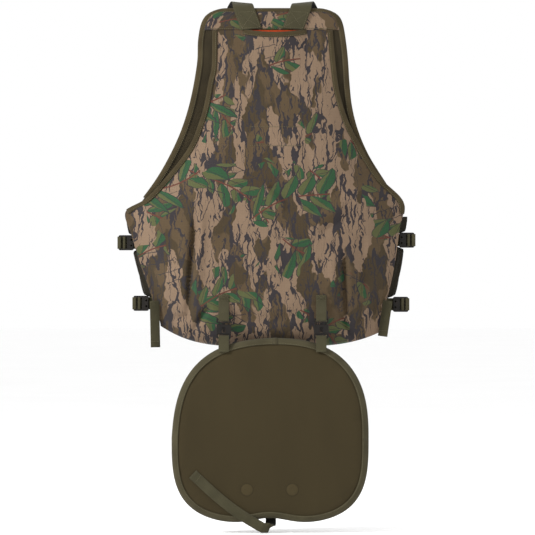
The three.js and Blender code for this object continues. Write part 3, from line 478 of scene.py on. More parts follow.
def twig_layer():
    """One layer of leafy twigs as a node group: rows of curving stems with leaves to both sides."""
    group = bpy.data.node_groups.new("twig_layer", "ShaderNodeTree")
    face = group.interface
    for label, kind in (
        ("Place", "NodeSocketVector"), ("Turn", "NodeSocketFloat"), ("Row gap", "NodeSocketFloat"),
        ("Leaf gap", "NodeSocketFloat"), ("Leaf wide", "NodeSocketFloat"), ("Leaf long", "NodeSocketFloat"),
        ("Seed", "NodeSocketFloat"), ("Bare share", "NodeSocketFloat"),
    ):
        face.new_socket(label, in_out="INPUT", socket_type=kind)
    for label in ("Leaf", "Green", "Line", "Stem"):
        face.new_socket(label, in_out="OUTPUT", socket_type="NodeSocketFloat")
    ins = group.nodes.new("NodeGroupInput").outputs
    outs = group.nodes.new("NodeGroupOutput").inputs

    def m(operation, *values):
        return calc(group, operation, *values)

    turned = put(group, "VectorRotate", {"Vector": ins["Place"], "Angle": ins["Turn"]}, rotation_type="Z_AXIS")
    part = put(group, "SeparateXYZ", {0: turned.outputs[0]}).outputs
    row = m("ROUND", m("DIVIDE", part[1], ins["Row gap"]))
    seed = put(group, "CombineXYZ", {0: row, 1: ins["Seed"], 2: 0.5}).outputs[0]
    row_luck = put(group, "TexWhiteNoise", {"Vector": seed}, noise_dimensions="3D").outputs
    along = m("MULTIPLY_ADD", row_luck["Value"], 0.7, part[0])
    bend = m("MULTIPLY", m("SINE", m("MULTIPLY", along, 23.0)), 0.013)
    off = m("ADD", m("SUBTRACT", part[1], m("MULTIPLY", row, ins["Row gap"])), bend)
    hand, out = m("SIGN", off), m("ABSOLUTE", off)
    slid = m("SUBTRACT", along, m("MULTIPLY", out, 0.85))
    slid = m("MULTIPLY_ADD", m("MULTIPLY", hand, ins["Leaf gap"]), 0.25, slid)
    leaf_no = m("FLOOR", m("DIVIDE", slid, ins["Leaf gap"]))
    middle = m("MULTIPLY", m("ADD", leaf_no, 0.5), ins["Leaf gap"])
    luck_at = put(group, "CombineXYZ", {0: leaf_no, 1: m("MULTIPLY_ADD", hand, 7.3, ins["Seed"]), 2: row}).outputs[0]
    luck = put(group, "TexWhiteNoise", {"Vector": luck_at}, noise_dimensions="3D").outputs["Color"]
    luck = put(group, "SeparateColor", {0: luck}).outputs
    wave = m("MULTIPLY", m("SUBTRACT", grain(group, ins["Place"], 95, 2), 0.5), 0.006)
    across = m("ADD", m("MULTIPLY", m("SUBTRACT", slid, middle), 0.76), wave)
    reach = m("MULTIPLY", ins["Leaf long"], m("MULTIPLY_ADD", luck[0], 0.6, 0.6))
    t = m("DIVIDE", m("SUBTRACT", out, 0.001), reach)
    shape = m("SINE", m("MULTIPLY", m("POWER", m("MAXIMUM", t, 0.0001), 0.75), math.pi))
    shape = m("MULTIPLY", shape, m("LESS_THAN", t, 1.0))
    wide = m("MULTIPLY", ins["Leaf wide"], m("MULTIPLY_ADD", luck[1], 0.5, 0.6))
    inside = m("SUBTRACT", m("MULTIPLY", shape, wide), m("ABSOLUTE", across))
    sprig = grain(group, stretched(group, ins["Place"], 1, 1, 1, (3.3, 8.1, 0)), 9.5, 1)
    there = m("GREATER_THAN", sprig, ins["Bare share"])
    there = m("MULTIPLY", there, m("GREATER_THAN", luck[2], 0.18))
    leaf = m("MULTIPLY", m("GREATER_THAN", inside, 0.0), there)
    rim = m("MULTIPLY", m("LESS_THAN", m("ABSOLUTE", inside), 0.00065), there)
    rib = m("MULTIPLY", m("LESS_THAN", m("ABSOLUTE", m("SUBTRACT", across, wave)), 0.00042), leaf)
    half = m("GREATER_THAN", m("MULTIPLY_ADD", m("SUBTRACT", luck[0], 0.5), 0.008, across), 0.0)
    stem = m("MULTIPLY", m("LESS_THAN", out, 0.0013), m("GREATER_THAN", sprig, ins["Bare share"]))
    for label, value in (("Leaf", leaf), ("Green", half), ("Line", m("MAXIMUM", rim, rib)), ("Stem", stem)):
        group.links.new(value, outs[label])
    return group


def camouflage():
    material, tree, shader = new_finish("camo_ripstop", Roughness=0.85, Sheen_Weight=0.03, Sheen_Roughness=0.5)
    shader.inputs["Specular IOR Level"].default_value = 0.15
    place = flat_place(tree)
    warp = put(tree, "TexNoise", {"Vector": place, "Scale": 60, "Detail": 3}).outputs[1]
    warp = put(tree, "VectorMath", {0: warp, 1: (0.5, 0.5, 0.5)}, operation="SUBTRACT").outputs[0]
    warp = put(tree, "VectorMath", {0: warp, "Scale": 0.016}, operation="SCALE").outputs[0]
    ragged = put(tree, "VectorMath", {0: place, 1: warp}, operation="ADD").outputs[0]
    plates = grain(tree, stretched(tree, ragged, 21, 8), 1.0, 2, 0.4)
    shade = grain(tree, stretched(tree, ragged, 21, 11, 1, (4, 2, 0)), 1.0, 1)
    colour = blend_dye(tree, step_up(tree, shade, 0.5, 0.52), MID_BROWN, DARK_BROWN)
    colour = blend_dye(tree, step_up(tree, plates, 0.485, 0.492), colour, TAN)
    for x, y, width, shift, least in (
        (36, 8, 0.045, (1, 5, 0), 0.40), (60, 12, 0.042, (7, 3, 0), 0.45), (96, 20, 0.036, (2, 9, 0), 0.46)
    ):
        line = grain(tree, stretched(tree, ragged, x, y, 1, shift), 1.0, 1)
        line = calc(tree, "ABSOLUTE", calc(tree, "SUBTRACT", line, 0.5))
        thick = grain(tree, stretched(tree, place, 48, 18, 1, shift), 1.0, 2)
        thick = calc(tree, "MULTIPLY", step_up(tree, thick, least, 0.68), width)
        colour = blend_dye(tree, calc(tree, "LESS_THAN", line, thick), colour, CRACK)
    knots = grain(tree, stretched(tree, ragged, 46, 22, 1, (2, 9, 0)), 1.0, 3, 0.7)
    colour = blend_dye(tree, step_up(tree, knots, 0.672, 0.682), colour, CRACK)
    twigs = twig_layer()
    for turn, row_gap, leaf_gap, wide, long, seed, bare in (
        (0.62, 0.115, 0.028, 0.0105, 0.038, 2.0, 0.54),
        (-0.35, 0.128, 0.034, 0.0125, 0.046, 5.0, 0.515),
    ):
        node = put(tree, "Group", node_tree=twigs)
        tree.links.new(place, node.inputs["Place"])
        for label, value in (
            ("Turn", turn), ("Row gap", row_gap), ("Leaf gap", leaf_gap), ("Leaf wide", wide), ("Leaf long", long),
            ("Seed", seed), ("Bare share", bare),
        ):
            node.inputs[label].default_value = value
        leaf = blend_dye(tree, node.outputs["Green"], LEAF_OLIVE, LEAF_GREEN)
        colour = blend_dye(tree, node.outputs["Leaf"], colour, leaf)
        colour = blend_dye(tree, node.outputs["Line"], colour, CRACK)
        colour = blend_dye(tree, node.outputs["Stem"], colour, TWIG)
    grid = calc(tree, "MAXIMUM", ribs(tree, place, 0, 0.0052), ribs(tree, place, 1, 0.0052))
    grid = calc(tree, "POWER", grid, 24)
    fine = grain(tree, place, 1100, 1)
    fade = calc(tree, "MULTIPLY_ADD", grain(tree, place, 14, 2), 0.2, 0.88)
    fade = calc(tree, "SUBTRACT", fade, calc(tree, "MULTIPLY", grid, 0.05))
    fade = calc(tree, "MULTIPLY_ADD", fine, 0.06, fade)
    toned = put(tree, "CombineColor", {0: fade, 1: fade, 2: fade}).outputs[0]
    colour = put(tree, "Mix", {0: 1.0, 6: colour, 7: toned}, data_type="RGBA", blend_type="MULTIPLY").outputs[2]
    tree.links.new(colour, shader.inputs["Base Color"])
    relief(tree, shader, calc(tree, "MULTIPLY_ADD", grid, 0.7, fine), 0.0003, 0.8)
    return material


camo = camouflage()

# ---- yoke and orange lining ----
# The yoke is one layer of the printed cloth across the shoulders; bright lining shows inside the bag's mouth.
YOKE_FOOT = -0.0508


def yoke_at(s, t):
    z = mix(VEST_TOP - 0.004, YOKE_FOOT, t)
    inset = 0.006 + 0.002 * (1 - t)
    x = mix(back_left(z) + inset, back_right(z) - inset, s)
    return x, back_y(x) - 0.0016 - 0.0004 * math.sin(math.pi * t), z


yoke = cloth_piece("yoke_cloth", yoke_at, 48, 10, 0.001, (0.25, 0.04))
fix(yoke, camo, "camo_cloth", "yoke_panel")
foot_run = [Vector(yoke_at(s, 0.93)) + Vector((0, -0.0005, 0)) for s in np.linspace(0.02, 0.98, 60)]
sewn("yoke_stitches", [foot_run], "back")

orange_lining = woven("orange_lining", dye(236, 88, 20), dye(196, 60, 12), (0.0009, 0.0009), 0.0002, sheen=0.1)


def lining_at(s, t):
    z = mix(-0.0465, -0.33, t)
    x = mix(-0.084, 0.1, s)
    return x, back_y(x) - 0.0009 - 0.0006 * t * abs(ripple(x, z, 0.04, 8)), z


lining = cloth_piece("bag_lining_cloth", lining_at, 30, 40, 0.0006, (0.185, 0.285))
fix(lining, orange_lining, "orange_lining", "bag_lining")

# ---- game bag: printed ripstop, bound down both sides and along its mouth ----
# One wide sheet sewn down at its edges. It stands off the back panel, fullest low down, and hangs in soft folds.
bag_left = cut_line(
    (-105, -50), (-106, -120), (-112, -148), (-119, -188), (-129, -224), (-150, -275), (-190, -328), (-234, -375),
    (-273, -398), (-262, -441), (-248, -486), (-223, -559), (-206, -612), (-205, -655),
)
bag_right = cut_line(
    (122, -50), (127, -108), (133, -158), (142, -196), (155, -232), (174, -268), (192, -300), (218, -338),
    (259, -381), (252, -431), (243, -495), (232, -548), (214, -611), (212, -655),
)
MOUTH_LEFT, MOUTH_RIGHT, MOUTH_SAG = -0.046, 0.072, 0.0062
BAG_DEPTH, BAG_EDGE, BAG_FULL_AT, MARGIN = 0.056, 0.007, 0.84, 0.010

# Folds of the hanging bag as x, z along each, in millimetres, then half-width and depth; a valley is positive.
BAG_FOLDS = (
    (((-139, -400), (-141, -450), (-146, -500), (-150, -560), (-151, -604)), 6, 15),
    (((-126, -385), (-128, -450), (-133, -510), (-136, -580)), 9, -7),
    (((-158, -400), (-160, -460), (-166, -530)), 11, -3),
    (((-188, -607), (-170, -600), (-150, -596)), 5, 15),
    (((-210, -560), (-185, -584), (-158, -578)), 10, -6),
    (((-108, -578), (-126, -596), (-142, -624), (-150, -634)), 6, 13),
    (((-132, -590), (-138, -612), (-146, -628)), 5, -5),
    (((-196, -604), (-172, -618), (-142, -632), (-112, -641)), 3.5, 6),
    (((-222, -470), (-206, -530), (-198, -560)), 9, 5),
    (((143, -462), (144, -520), (146, -570), (147, -612)), 6, 15),
    (((157, -470), (160, -520), (159, -570), (156, -606), (160, -630)), 8, -7),
    (((177, -440), (179, -500), (174, -560)), 11, 8),
    (((128, -578), (138, -600), (150, -624), (166, -638), (196, -634)), 5, 11),
    (((168, -600), (186, -607), (208, -618)), 5, 16),
    (((174, -580), (196, -590), (214, -600)), 9, -5),
    (((126, -470), (124, -540), (124, -600)), 9, -4),
    (((84, -420), (118, -400), (150, -388)), 12, -7),
    (((96, -440), (126, -424), (152, -408)), 9, 6),
    (((0, -350), (22, -362), (42, -382)), 7, 4),
    (((-8, -362), (14, -376), (34, -396)), 8, -4),
    (((60, -250), (78, -300), (84, -352)), 10, 3),
    (((-60, -590), (0, -604), (70, -594)), 12, 5),
    (((-30, -470), (10, -490), (60, -480)), 22, -4),
)


fold_runs = [(np.array(through(np.array(points, float) / 1000, 8)), wide / 1000, deep / 1000)
             for points, wide, deep in BAG_FOLDS]


def folds_at(x, z, runs):
    total = 0.0
    for run, wide, deep in runs:
        gap = np.hypot(run[:, 0] - x, run[:, 1] - z)
        k = int(gap.argmin())
        if gap[k] < 3.2 * wide:
            end = ease(min(k + 1, len(run) - k) / (0.3 * len(run)))
            total += deep * end * math.exp(-((gap[k] / wide) ** 2))
    return total


CLIP_X = [(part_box("clip_plug_" + side)[0].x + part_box("clip_plug_" + side)[1].x) / 2 for side in ("left", "right")]


def mouth_drop(x):
    """How far the loose middle of the bag's mouth hangs below its sewn corners, from 0 to 1."""
    t = (x - MOUTH_LEFT) / (MOUTH_RIGHT - MOUTH_LEFT)
    return math.sin(math.pi * hold(t)) ** 0.7 if 0 < t < 1 else 0.0


def bag_swell(x, z, t):
    half = (bag_right(z) - bag_left(z)) / 2
    inboard = hold((half - MARGIN - abs(x - bag_left(z) - half)) / (half - MARGIN))
    across = (1 - (1 - inboard) ** 4.6) * mix(0.7, 1, ease(inboard / 0.2))
    belly = mix(0.003, BAG_DEPTH, ease(t / BAG_FULL_AT) ** 0.85)
    under = hold((t - BAG_FULL_AT) / (1 - BAG_FULL_AT))
    closing = math.sqrt(max(0.0, 1 - under * under))
    flat_edge = mix(0.0012, BAG_EDGE, ease(t / 0.3)) * closing + 0.0008 * (1 - closing)
    swell = flat_edge + max(0.0, belly - BAG_EDGE * 0.6) * across * closing
    swell += 0.011 * mouth_drop(x) * (1 - ease(t / 0.16))
    free = across * closing * ease((inboard - 0.02) / 0.16)
    for clip in CLIP_X:
        free *= 1 - ease(1.5 - abs(x - clip) / 0.016) * ease((-0.53 - z) / 0.02)
    soft = 0.0028 * ripple(x, z, 0.07, 1.3) + 0.0011 * ripple(x, z, 0.024, 5.7)
    return swell + free * (soft * ease(t / 0.25) - folds_at(x, z, fold_runs))


def bag_at(s, t):
    z = mix(YOKE_FOOT, foot_z(s), t)
    left, right = bag_left(z), bag_right(z)
    x = mix(left, right, s)
    if t < 0.16:
        z -= MOUTH_SAG * mouth_drop(x) * (1 - ease(t / 0.16))
    return x, back_y(x) - bag_swell(x, z, t), z


BAG_FLAT = (0.54, 0.64)
bag = cloth_piece("game_bag_cloth", bag_at, 220, 240, 0.0011, BAG_FLAT)
# The print is laid out across the bag's true width, so it isn't squeezed at the narrow top.
layer = bag.data.uv_layers["cloth"]
for loop in bag.data.loops:
    co = bag.data.vertices[loop.vertex_index].co
    layer.data[loop.index].uv = (co.x * 1.04, co.z * 1.02)
fix(bag, camo, "camo_cloth", "game_bag")

BAG_TAPE_END = 0.613
rims = []
for s in (0, 1):
    path, ways = edge_places(bag_at, run_of((s, 0.0), (s, BAG_TAPE_END), 110), 0.001)
    path, ways = smoothed(path), smoothed(ways, 8)
    side_tape = carried(f"bag_side_tape_{'right' if s else 'left'}", path, ways, tape_section(0.0021, BINDING_LAP))
    fix(side_tape, grosgrain, "edge_tape", body="back")
    rims.append(offset_run(path, ways, BINDING_LAP - 0.0018, 0.0022))
mouth_ends = [(x - bag_left(-0.051)) / 0.227 for x in (MOUTH_LEFT, MOUTH_RIGHT)]
lip = [(mix(*mouth_ends, i / 60), 0) for i in range(61)]
path, ways = edge_places(bag_at, lip, 0.001)
path = [p + Vector((0, 0, 0.0006)) for p in path]
lip_tape = carried("bag_mouth_tape", path, [(0, 0, 1)] * len(path), tape_section(0.0021, 0.0085))
fix(lip_tape, grosgrain, "edge_tape", "bag_binding")
rims.append(offset_run(path, [(0, 0, 1)] * len(path), 0.0068, 0.0024))
sewn("bag_binding_stitches", rims, "back")


def on_bag(x, z):
    """The bag's outer face at a place in the rear view."""
    s = (x - bag_left(z)) / (bag_right(z) - bag_left(z))
    t = hold((z - YOKE_FOOT) / (foot_z(s) - YOKE_FOOT))
    return back_y(x) - bag_swell(x, z, t)


back_seams = []
for z in (-0.2365, -0.2725):
    back_seams.append([(x, on_bag(x, z) - 0.0003, z) for x in np.linspace(-0.034, 0.07, 50)])
sewn("bag_pocket_stitches", back_seams, "back", pitch=0.0034)

# ---- shoulder straps: 38 mm webbing over the shoulders ----
# Each is sewn to the yoke with a crossed box, stands up over the shoulder as a loop and goes to the front panel.
SIDES = (("left", -1), ("right", 1))
VEST_MID_X = 0.008
WEB_THICK = 0.0013


def ribbon(wide, thick=WEB_THICK):
    """Webbing's section, with rounded selvedges."""
    w, h = wide / 2, thick / 2
    return [(-w + h, -h), (w - h, -h), (w - h * 0.3, -h * 0.7), (w, 0), (w - h * 0.3, h * 0.7), (w - h, h),
            (-w + h, h), (-w + h * 0.3, h * 0.7), (-w, 0), (-w + h * 0.3, -h * 0.7)]


def shade_hidden_face(strap, shade_material):
    """Gives the strap's hidden face a darker copy of the webbing: painted shade for its shadowed underside."""
    strap.data.materials.append(shade_material)
    step = len(ribbon(0.02))
    for number, face in enumerate(strap.data.polygons):
        if number % step == 5 and len(face.vertices) == 4:
            face.material_index = 1


def bezier(a, b, c, d, steps):
    a, b, c, d = (np.asarray(p, float) for p in (a, b, c, d))
    return [a * (1 - t) ** 3 + 3 * b * t * (1 - t) ** 2 + 3 * c * t * t * (1 - t) + d * t**3
            for t in np.linspace(0, 1, steps + 1)]


def swing_line(side):
    top = np.array([VEST_MID_X + side * 0.074, 0.040, -0.022])
    low = np.array([side * 0.272, 0.010, -0.500])
    return top, (low - top) / np.linalg.norm(low - top)


def crossed_box(corner, across, down, wide, high, off):
    """Stitch runs for a box with its diagonals, on a face spanned by two ways."""
    a = np.asarray(corner, float) + off
    b, c, d = a + across * wide, a + across * wide + down * high, a + down * high
    return [[a, b], [b, c], [c, d], [d, a], [a, c], [b, d]]


for name, side in SIDES:
    low, crest = VEST_MID_X + side * 0.0395, VEST_MID_X + side * 0.058

    def strap_point(z):
        x = mix(low, crest, (z + 0.049) / 0.049)
        return np.array([x, back_y(x) - 0.0043, z])

    start = strap_point(-0.009)
    top, down = swing_line(side)
    end = top - down * 0.002
    over = bezier(start, start + (side * 0.003, -0.003, 0.016), end - down * 0.032, end, 30)
    path = [strap_point(z) for z in np.linspace(-0.0495, -0.009, 14)] + over[1:]
    path += [top + down * caught for caught in (0.003, 0.009)]
    # The web leans inward down the yoke, and its ends are cut level.
    back_side, front_side = np.array([1.06, 0, side * -0.06]), np.array([0.94, 0, side * 0.34])
    sides = [back_side + (front_side - back_side) * hold((i - 12) / (len(path) - 14)) for i in range(len(path))]
    strap = carried(f"shoulder_webbing_{name}", path, sides, ribbon(0.038), square=False)
    strap.data.materials.append(web_weave)
    # Its front end is caught inside the shoulder pad.
    tuple(path[26])
    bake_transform(strap)
    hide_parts(f"shoulder_strap_{name}")
    # The strap's hidden face is painted darker, as painted shade.
    shade_hidden_face(strap, painted_shade_web)
    up = strap_point(-0.027) - strap_point(-0.047)
    up /= np.linalg.norm(up)
    corner = strap_point(-0.0468) - back_side * 0.0163
    box = crossed_box(corner, back_side, up, 0.0326, 0.0325, np.array([0, -0.00085, 0]))
    sewn(f"shoulder_stitches_{name}", box, "back", thick=0.0006)

# ---- front panels, with their shoulder pads, edge tape and cargo pockets ----
# Two printed panels that meet at the waist clip. Each hangs from a padded shoulder piece under the strap's end.
def front_y(x):
    return 0.046 - 0.52 * x * x


FRONT_TOP, FRONT_FOOT, FRONT_THICK = -0.172, -0.604, 0.004
inner_line = cut_line((58, -172), (46, -205), (36, -260), (32, -330), (32, -470), (38, -560), (56, -604))
outer_line = cut_line(
    (128, -172), (133, -205), (148, -260), (176, -330), (210, -388), (233, -412), (234, -455), (228, -540),
    (212, -604),
)


def puffed(piece, cap, voxel=0.005, pressure=4.0, frames=20):
    """Remeshes a closed pad and lets air pressure swell its cloth; no point moves further than the cap."""
    bpy.context.view_layer.objects.active = piece
    shrink = piece.modifiers.new("remesh", "REMESH")
    shrink.mode = "VOXEL"
    shrink.voxel_size = voxel
    apply_all(piece)
    before = np.array([v.co for v in piece.data.vertices])
    cloth = piece.modifiers.new("swell", "CLOTH")
    cloth.settings.use_pressure = True
    cloth.settings.uniform_pressure_force = pressure
    cloth.settings.effector_weights.gravity = 0
    cloth.settings.quality = 4
    cloth.point_cache.frame_start, cloth.point_cache.frame_end = 1, frames
    for number in range(1, frames + 1):
        scene.frame_set(number)
    seen = piece.evaluated_get(bpy.context.evaluated_depsgraph_get())
    after = np.array([v.co for v in seen.data.vertices])
    piece.modifiers.remove(cloth)
    scene.frame_set(1)
    move = after - before
    far = np.linalg.norm(move, axis=1, keepdims=True)
    after = before + move * np.minimum(1, cap / np.maximum(far, 1e-9))
    for vertex, place in zip(piece.data.vertices, after):
        vertex.co = place
    piece.modifiers.new("smooth", "SUBSURF").levels = 1
    apply_all(piece)
    piece.data.polygons.foreach_set("use_smooth", [True] * len(piece.data.polygons))


def apply_all(piece):
    """Turns a piece's modifiers into its mesh."""
    seen = piece.evaluated_get(bpy.context.evaluated_depsgraph_get())
    mesh = bpy.data.meshes.new_from_object(seen)
    piece.modifiers.clear()
    old, piece.data = piece.data, mesh
    bpy.data.meshes.remove(old)


quilt_cloth = woven("quilt_cloth", dye(72, 62, 40), dye(50, 42, 25), (0.0012, 0.0012), flat=False)
CARGO_X, CARGO_TOP, CARGO_WIDE, CARGO_HIGH, CARGO_DEEP = 0.138, -0.424, 0.150, 0.158, 0.030
for name, side in SIDES:
    body = f"front_{name}"

    def front_at(s, t):
        z = mix(FRONT_TOP, FRONT_FOOT, t)
        a, b = side * inner_line(z), side * outer_line(z)
        x = mix(min(a, b), max(a, b), s)
        edge = min(abs(x - a), abs(b - x))
        return x, front_y(x) + 0.0012 * ripple(x, z, 0.06, 4 + side) * ease((edge - 0.008) / 0.02), z

    panel = cloth_piece(f"front_cloth_{name}", front_at, 40, 80, 0.0034, (0.2, 0.44))
    fix(panel, camo, "camo_cloth", f"front_panel_{name}")
    rim = run_of((0, 0), (1, 0), 24) + run_of((1, 0), (1, 1), 90)
    rim += run_of((1, 1), (0, 1), 30) + run_of((0, 1), (0, 0), 90)
    path, ways = edge_places(front_at, rim, 0.0034)
    ways = np.asarray([w.normalized() for w in ways])
    for _ in range(4):
        ways = (np.roll(ways, 1, 0) + 2 * ways + np.roll(ways, -1, 0)) / 4
    tape = carried(f"front_tape_{name}", path, ways, tape_section(0.0031, BINDING_LAP), closed=True)
    fix(tape, grosgrain, "edge_tape", f"front_binding_{name}")
    seam = offset_run(path, ways, BINDING_LAP - 0.0018, -0.0033)
    sewn(f"front_stitches_{name}", [list(seam) + [seam[0]]], body)

    # The shoulder pad: foam in olive cloth, 56 mm wide.
    top, down = swing_line(side)
    end_x = side * (inner_line(FRONT_TOP) + outer_line(FRONT_TOP)) / 2
    pad_end = np.array([end_x, front_y(end_x) + 0.002, FRONT_TOP - 0.009])
    pad_top = top - down * 0.001
    run = bezier(pad_top, pad_top + down * 0.045, pad_end + (side * -0.003, 0, 0.045), pad_end, 26)
    w, h = 0.0262, 0.0033
    oval = [(w * math.copysign(abs(math.cos(a)) ** 0.35, math.cos(a)),
             h * math.copysign(abs(math.sin(a)) ** 0.8, math.sin(a)))
            for a in np.linspace(0, 2 * math.pi, 24, endpoint=False)]
    pad = carried(f"shoulder_foam_{name}", run, [(1, 0, side * 0.3)] * len(run), oval)
    puffed(pad, 0.0014, 0.004)
    fix(pad, quilt_cloth, "olive_quilt", f"shoulder_pad_{name}")

    # The cargo pocket: printed cloth with boxed sides, sewn to the panel, open under its flap.
    x0 = side * CARGO_X
    turn = math.atan(-2 * 0.52 * x0)
    c, s_ = math.cos(turn), math.sin(turn)
    root = np.array([x0, front_y(x0) + FRONT_THICK + 0.0003, CARGO_TOP])

    def placed(x, y, z):
        return root + (c * x - s_ * y, s_ * x + c * y, z)

    def pocket_at(s, t):
        u, v = 2 * s - 1, t
        wide = math.copysign(1 - (1 - abs(u)) ** 1.6, u)
        deep = (1 - abs(wide) ** 14) ** 0.45 * (1 - v**12) ** 0.5
        x = wide * (CARGO_WIDE / 2 - 0.0022)
        z = -CARGO_HIGH * (1 - (1 - v) ** 1.25) + 0.0006
        crown = 0.001 * ripple(x, z, 0.05, 2) - 0.003 * (1 - deep) - 0.0012 * (1 - math.cos(math.pi * u)) / 2
        return placed(x, 0.0008 + (CARGO_DEEP - 0.0035 + crown) * deep, z)

    pocket = cloth_piece(f"cargo_cloth_{name}", pocket_at, 60, 50, 0.0014, (0.21, 0.188), flip=True)
    fix(pocket, camo, "camo_cloth", f"cargo_pocket_{name}")
    seam = [placed(x, CARGO_DEEP - 0.0022, -0.0695) for x in np.linspace(-0.066, 0.066, 30)]

    # The flap: a hood over the pocket's mouth and a rounded lip down its front, closed by hook tape.
    FLAP_WIDE, FLAP_LIP = 0.156, 0.055
    reach = CARGO_DEEP + 0.0015

    def flap_at(s, t):
        gone = t * (reach + FLAP_LIP)
        bend = 0.006
        if gone < reach - bend:
            y, z, low = gone, 0.0023, 0.0
        elif gone < reach + bend:
            a = (gone - reach + bend) / (2 * bend) * math.pi / 2
            y, z, low = reach - bend + bend * math.sin(a), 0.0023 - bend + bend * math.cos(a), 0.0
        else:
            low = gone - reach - bend
            y, z = reach + 0.0008 * math.sin(low * 60), 0.0023 - bend - low
        corner = hold((low - (FLAP_LIP - 0.024)) / 0.018)
        half = FLAP_WIDE / 2 - 0.012 * (1 - math.sqrt(max(0.0, 1 - corner**2)))
        return placed((2 * s - 1) * half, y, z)

    flap = cloth_piece(f"flap_cloth_{name}", flap_at, 40, 44, 0.0019, (0.156, 0.087))
    fix(flap, camo, "camo_cloth", f"cargo_flap_{name}")
    hem = [Vector(flap_at(s, 0.93)) + Vector((0, 0.0004, 0)) for s in np.linspace(0.09, 0.91, 40)]
    sides_run = [[Vector(flap_at(s, t)) + Vector((0, 0.0004, 0)) for t in np.linspace(0.46, 0.93, 20)]
                 for s in (0.05, 0.95)]
    sewn(f"flap_stitches_{name}", [hem, *sides_run], f"flap_{name}")

# ---- side wings: dark gathered cloth that joins back and front at the waist ----
# Each is gathered between the panels' edges.
wing_cloth = woven("wing_cloth", dye(50, 44, 27), dye(34, 29, 17), (0.0016, 0.0016), 0.0004)
for name, side in SIDES:
    back_edge = back_left if side < 0 else back_right
    web_levels = [(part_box(f"adjuster_{level}_{name}")[0].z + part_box(f"adjuster_{level}_{name}")[1].z) / 2
                  for level in ("upper", "lower")]

    def wing_at(s, t):
        z = mix(-0.407, -0.603, t)
        back_x = back_edge(z) - side * 0.0066
        front_x = side * (outer_line(z) - 0.007)
        room = math.prod(1 - 0.96 * math.exp(-(((z - level) / 0.0145) ** 6)) for level in web_levels)
        pleat = 0.0016 * math.sin(s * 7 * math.pi + math.sin(11 * t))
        loose = (0.0042 + pleat + (0.024 + 0.002 * side - 0.006 * t) * room) * math.sin(math.pi * s) ** 0.7
        x = mix(back_x, front_x, s) + side * loose
        return x, mix(back_y(back_x) + 0.0066, front_y(front_x) - 0.0022, s), z

    wing = cloth_piece(f"side_wing_{name}_cloth", wing_at, 48, 50, 0.0008, (0.072, 0.196), flip=side > 0)
    wing.data.materials.append(wing_cloth)
    a, b = Vector(wing_at(0.15, 0.5)), Vector(wing_at(0.95, 0.5))
    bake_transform(wing)
    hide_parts(f"side_wing_{name}")

# ---- moulded plastic: strap adjusters and side-release clips ----
# Dark brown acetal with a satin skin, a little paler where edges rub.
def moulded(name, light, dark):
    material, tree, shader = new_finish(name)
    shader.inputs["Specular IOR Level"].default_value = 0.2
    place = body_place(tree)
    cloud = grain(tree, place, 120, 3)
    skin = grain(tree, place, 2600, 2)
    edge = put(tree, "NewGeometry").outputs["Pointiness"]
    rubbed = step_up(tree, edge, 0.52, 0.6)
    colour = blend_dye(tree, step_up(tree, cloud, 0.3, 0.7), dark, light)
    colour = blend_dye(tree, calc(tree, "MULTIPLY", rubbed, 0.3), colour, dye(60, 53, 46))
    tree.links.new(colour, shader.inputs["Base Color"])
    tree.links.new(calc(tree, "MULTIPLY_ADD", cloud, 0.2, 0.42), shader.inputs["Roughness"])
    relief(tree, shader, skin, 0.00006, 0.6)
    return material


buckle_plastic = moulded("buckle_plastic", dye(28, 23, 19), dye(14, 12, 10))
for node_name, node in frame["nodes"].items():
    if node_name.startswith(("adjuster_upper", "adjuster_lower", "clip_", "latch_arm")):
        node.data.materials.clear()
        node.data.materials.append(buckle_plastic)

# ---- adjuster webbing: 20 mm, sewn to the back and front edges ----
# The anchor goes under each frame and round its inner bar; the pull web comes from the front round the outer bar.
LOCK_WIDE, LOCK_THICK, LOCK_BAR, LOCK_SLOT = 0.029, 0.005, 0.0034, 0.0046
WEB_NARROW = 0.0198
LOCK_WEB = 0.0234
for name, side in SIDES:
    for level in ("upper", "lower"):
        low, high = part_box(f"adjuster_{level}_{name}")
        x, y, z = (low + high) / 2
        face = LOCK_THICK / 2 + 0.0003 + WEB_THICK / 2 + 0.0002
        beside = LOCK_BAR / 2 + 0.0003 + WEB_THICK / 2 + 0.0003
        edge_x = max(side * (back_left if side < 0 else back_right)(z + k * WEB_NARROW / 2) for k in (-1, 0, 1))
        bar = LOCK_WIDE / 2 - LOCK_BAR / 2 - (LOCK_SLOT + LOCK_BAR)

        def at(out, along):
            return np.array([x + side * out, y + along, z])

        x_out = abs(x)
        anchor = [
            at(edge_x + 0.0011 - x_out, back_y(edge_x) + PANEL_THICK / 2 - y),
            at(-LOCK_WIDE / 2 - 0.0025, face + 0.0006), at(bar - 0.0046, face), at(bar - beside, face - 0.0015),
            at(bar - beside, 0.001 - face), at(bar - beside + 0.0008, -face), at(bar + 0.0012, -face),
        ]
        web = carried(f"anchor_webbing_{level}_{name}", through(anchor, 4), [(0, 0, 1)], ribbon(LOCK_WEB, 0.0012))
        fix(web, web_weave, "webbing", f"anchor_web_{level}_{name}")
        outer = LOCK_WIDE / 2 - LOCK_BAR / 2
        front_x = max(outer_line(z + k * WEB_NARROW / 2) for k in (-1, 0, 1))
        web_x = front_x + 0.0028
        pull = [
            at(web_x - x_out, front_y(front_x) + 0.002 - y),
            at((web_x - x_out + outer) / 2 + 0.003, (front_y(front_x) - y) / 2 + 0.004),
            at(outer + 0.0004, face + 0.0008),
            at(outer + beside, face - 0.0004), at(outer + beside + 0.0002, 0), at(outer + beside, 0.0004 - face),
            at(outer + 0.0006, -face), at(outer - 0.0014, -face), at(outer - beside, 0.001 - face),
        ]
        web = carried(f"pull_webbing_{level}_{name}", through(pull, 5), [(0, 0, 1)], ribbon(LOCK_WEB, 0.0012))
        web.data.materials.append(web_weave)
        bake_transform(web)
        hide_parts(f"pull_web_{level}_{name}")

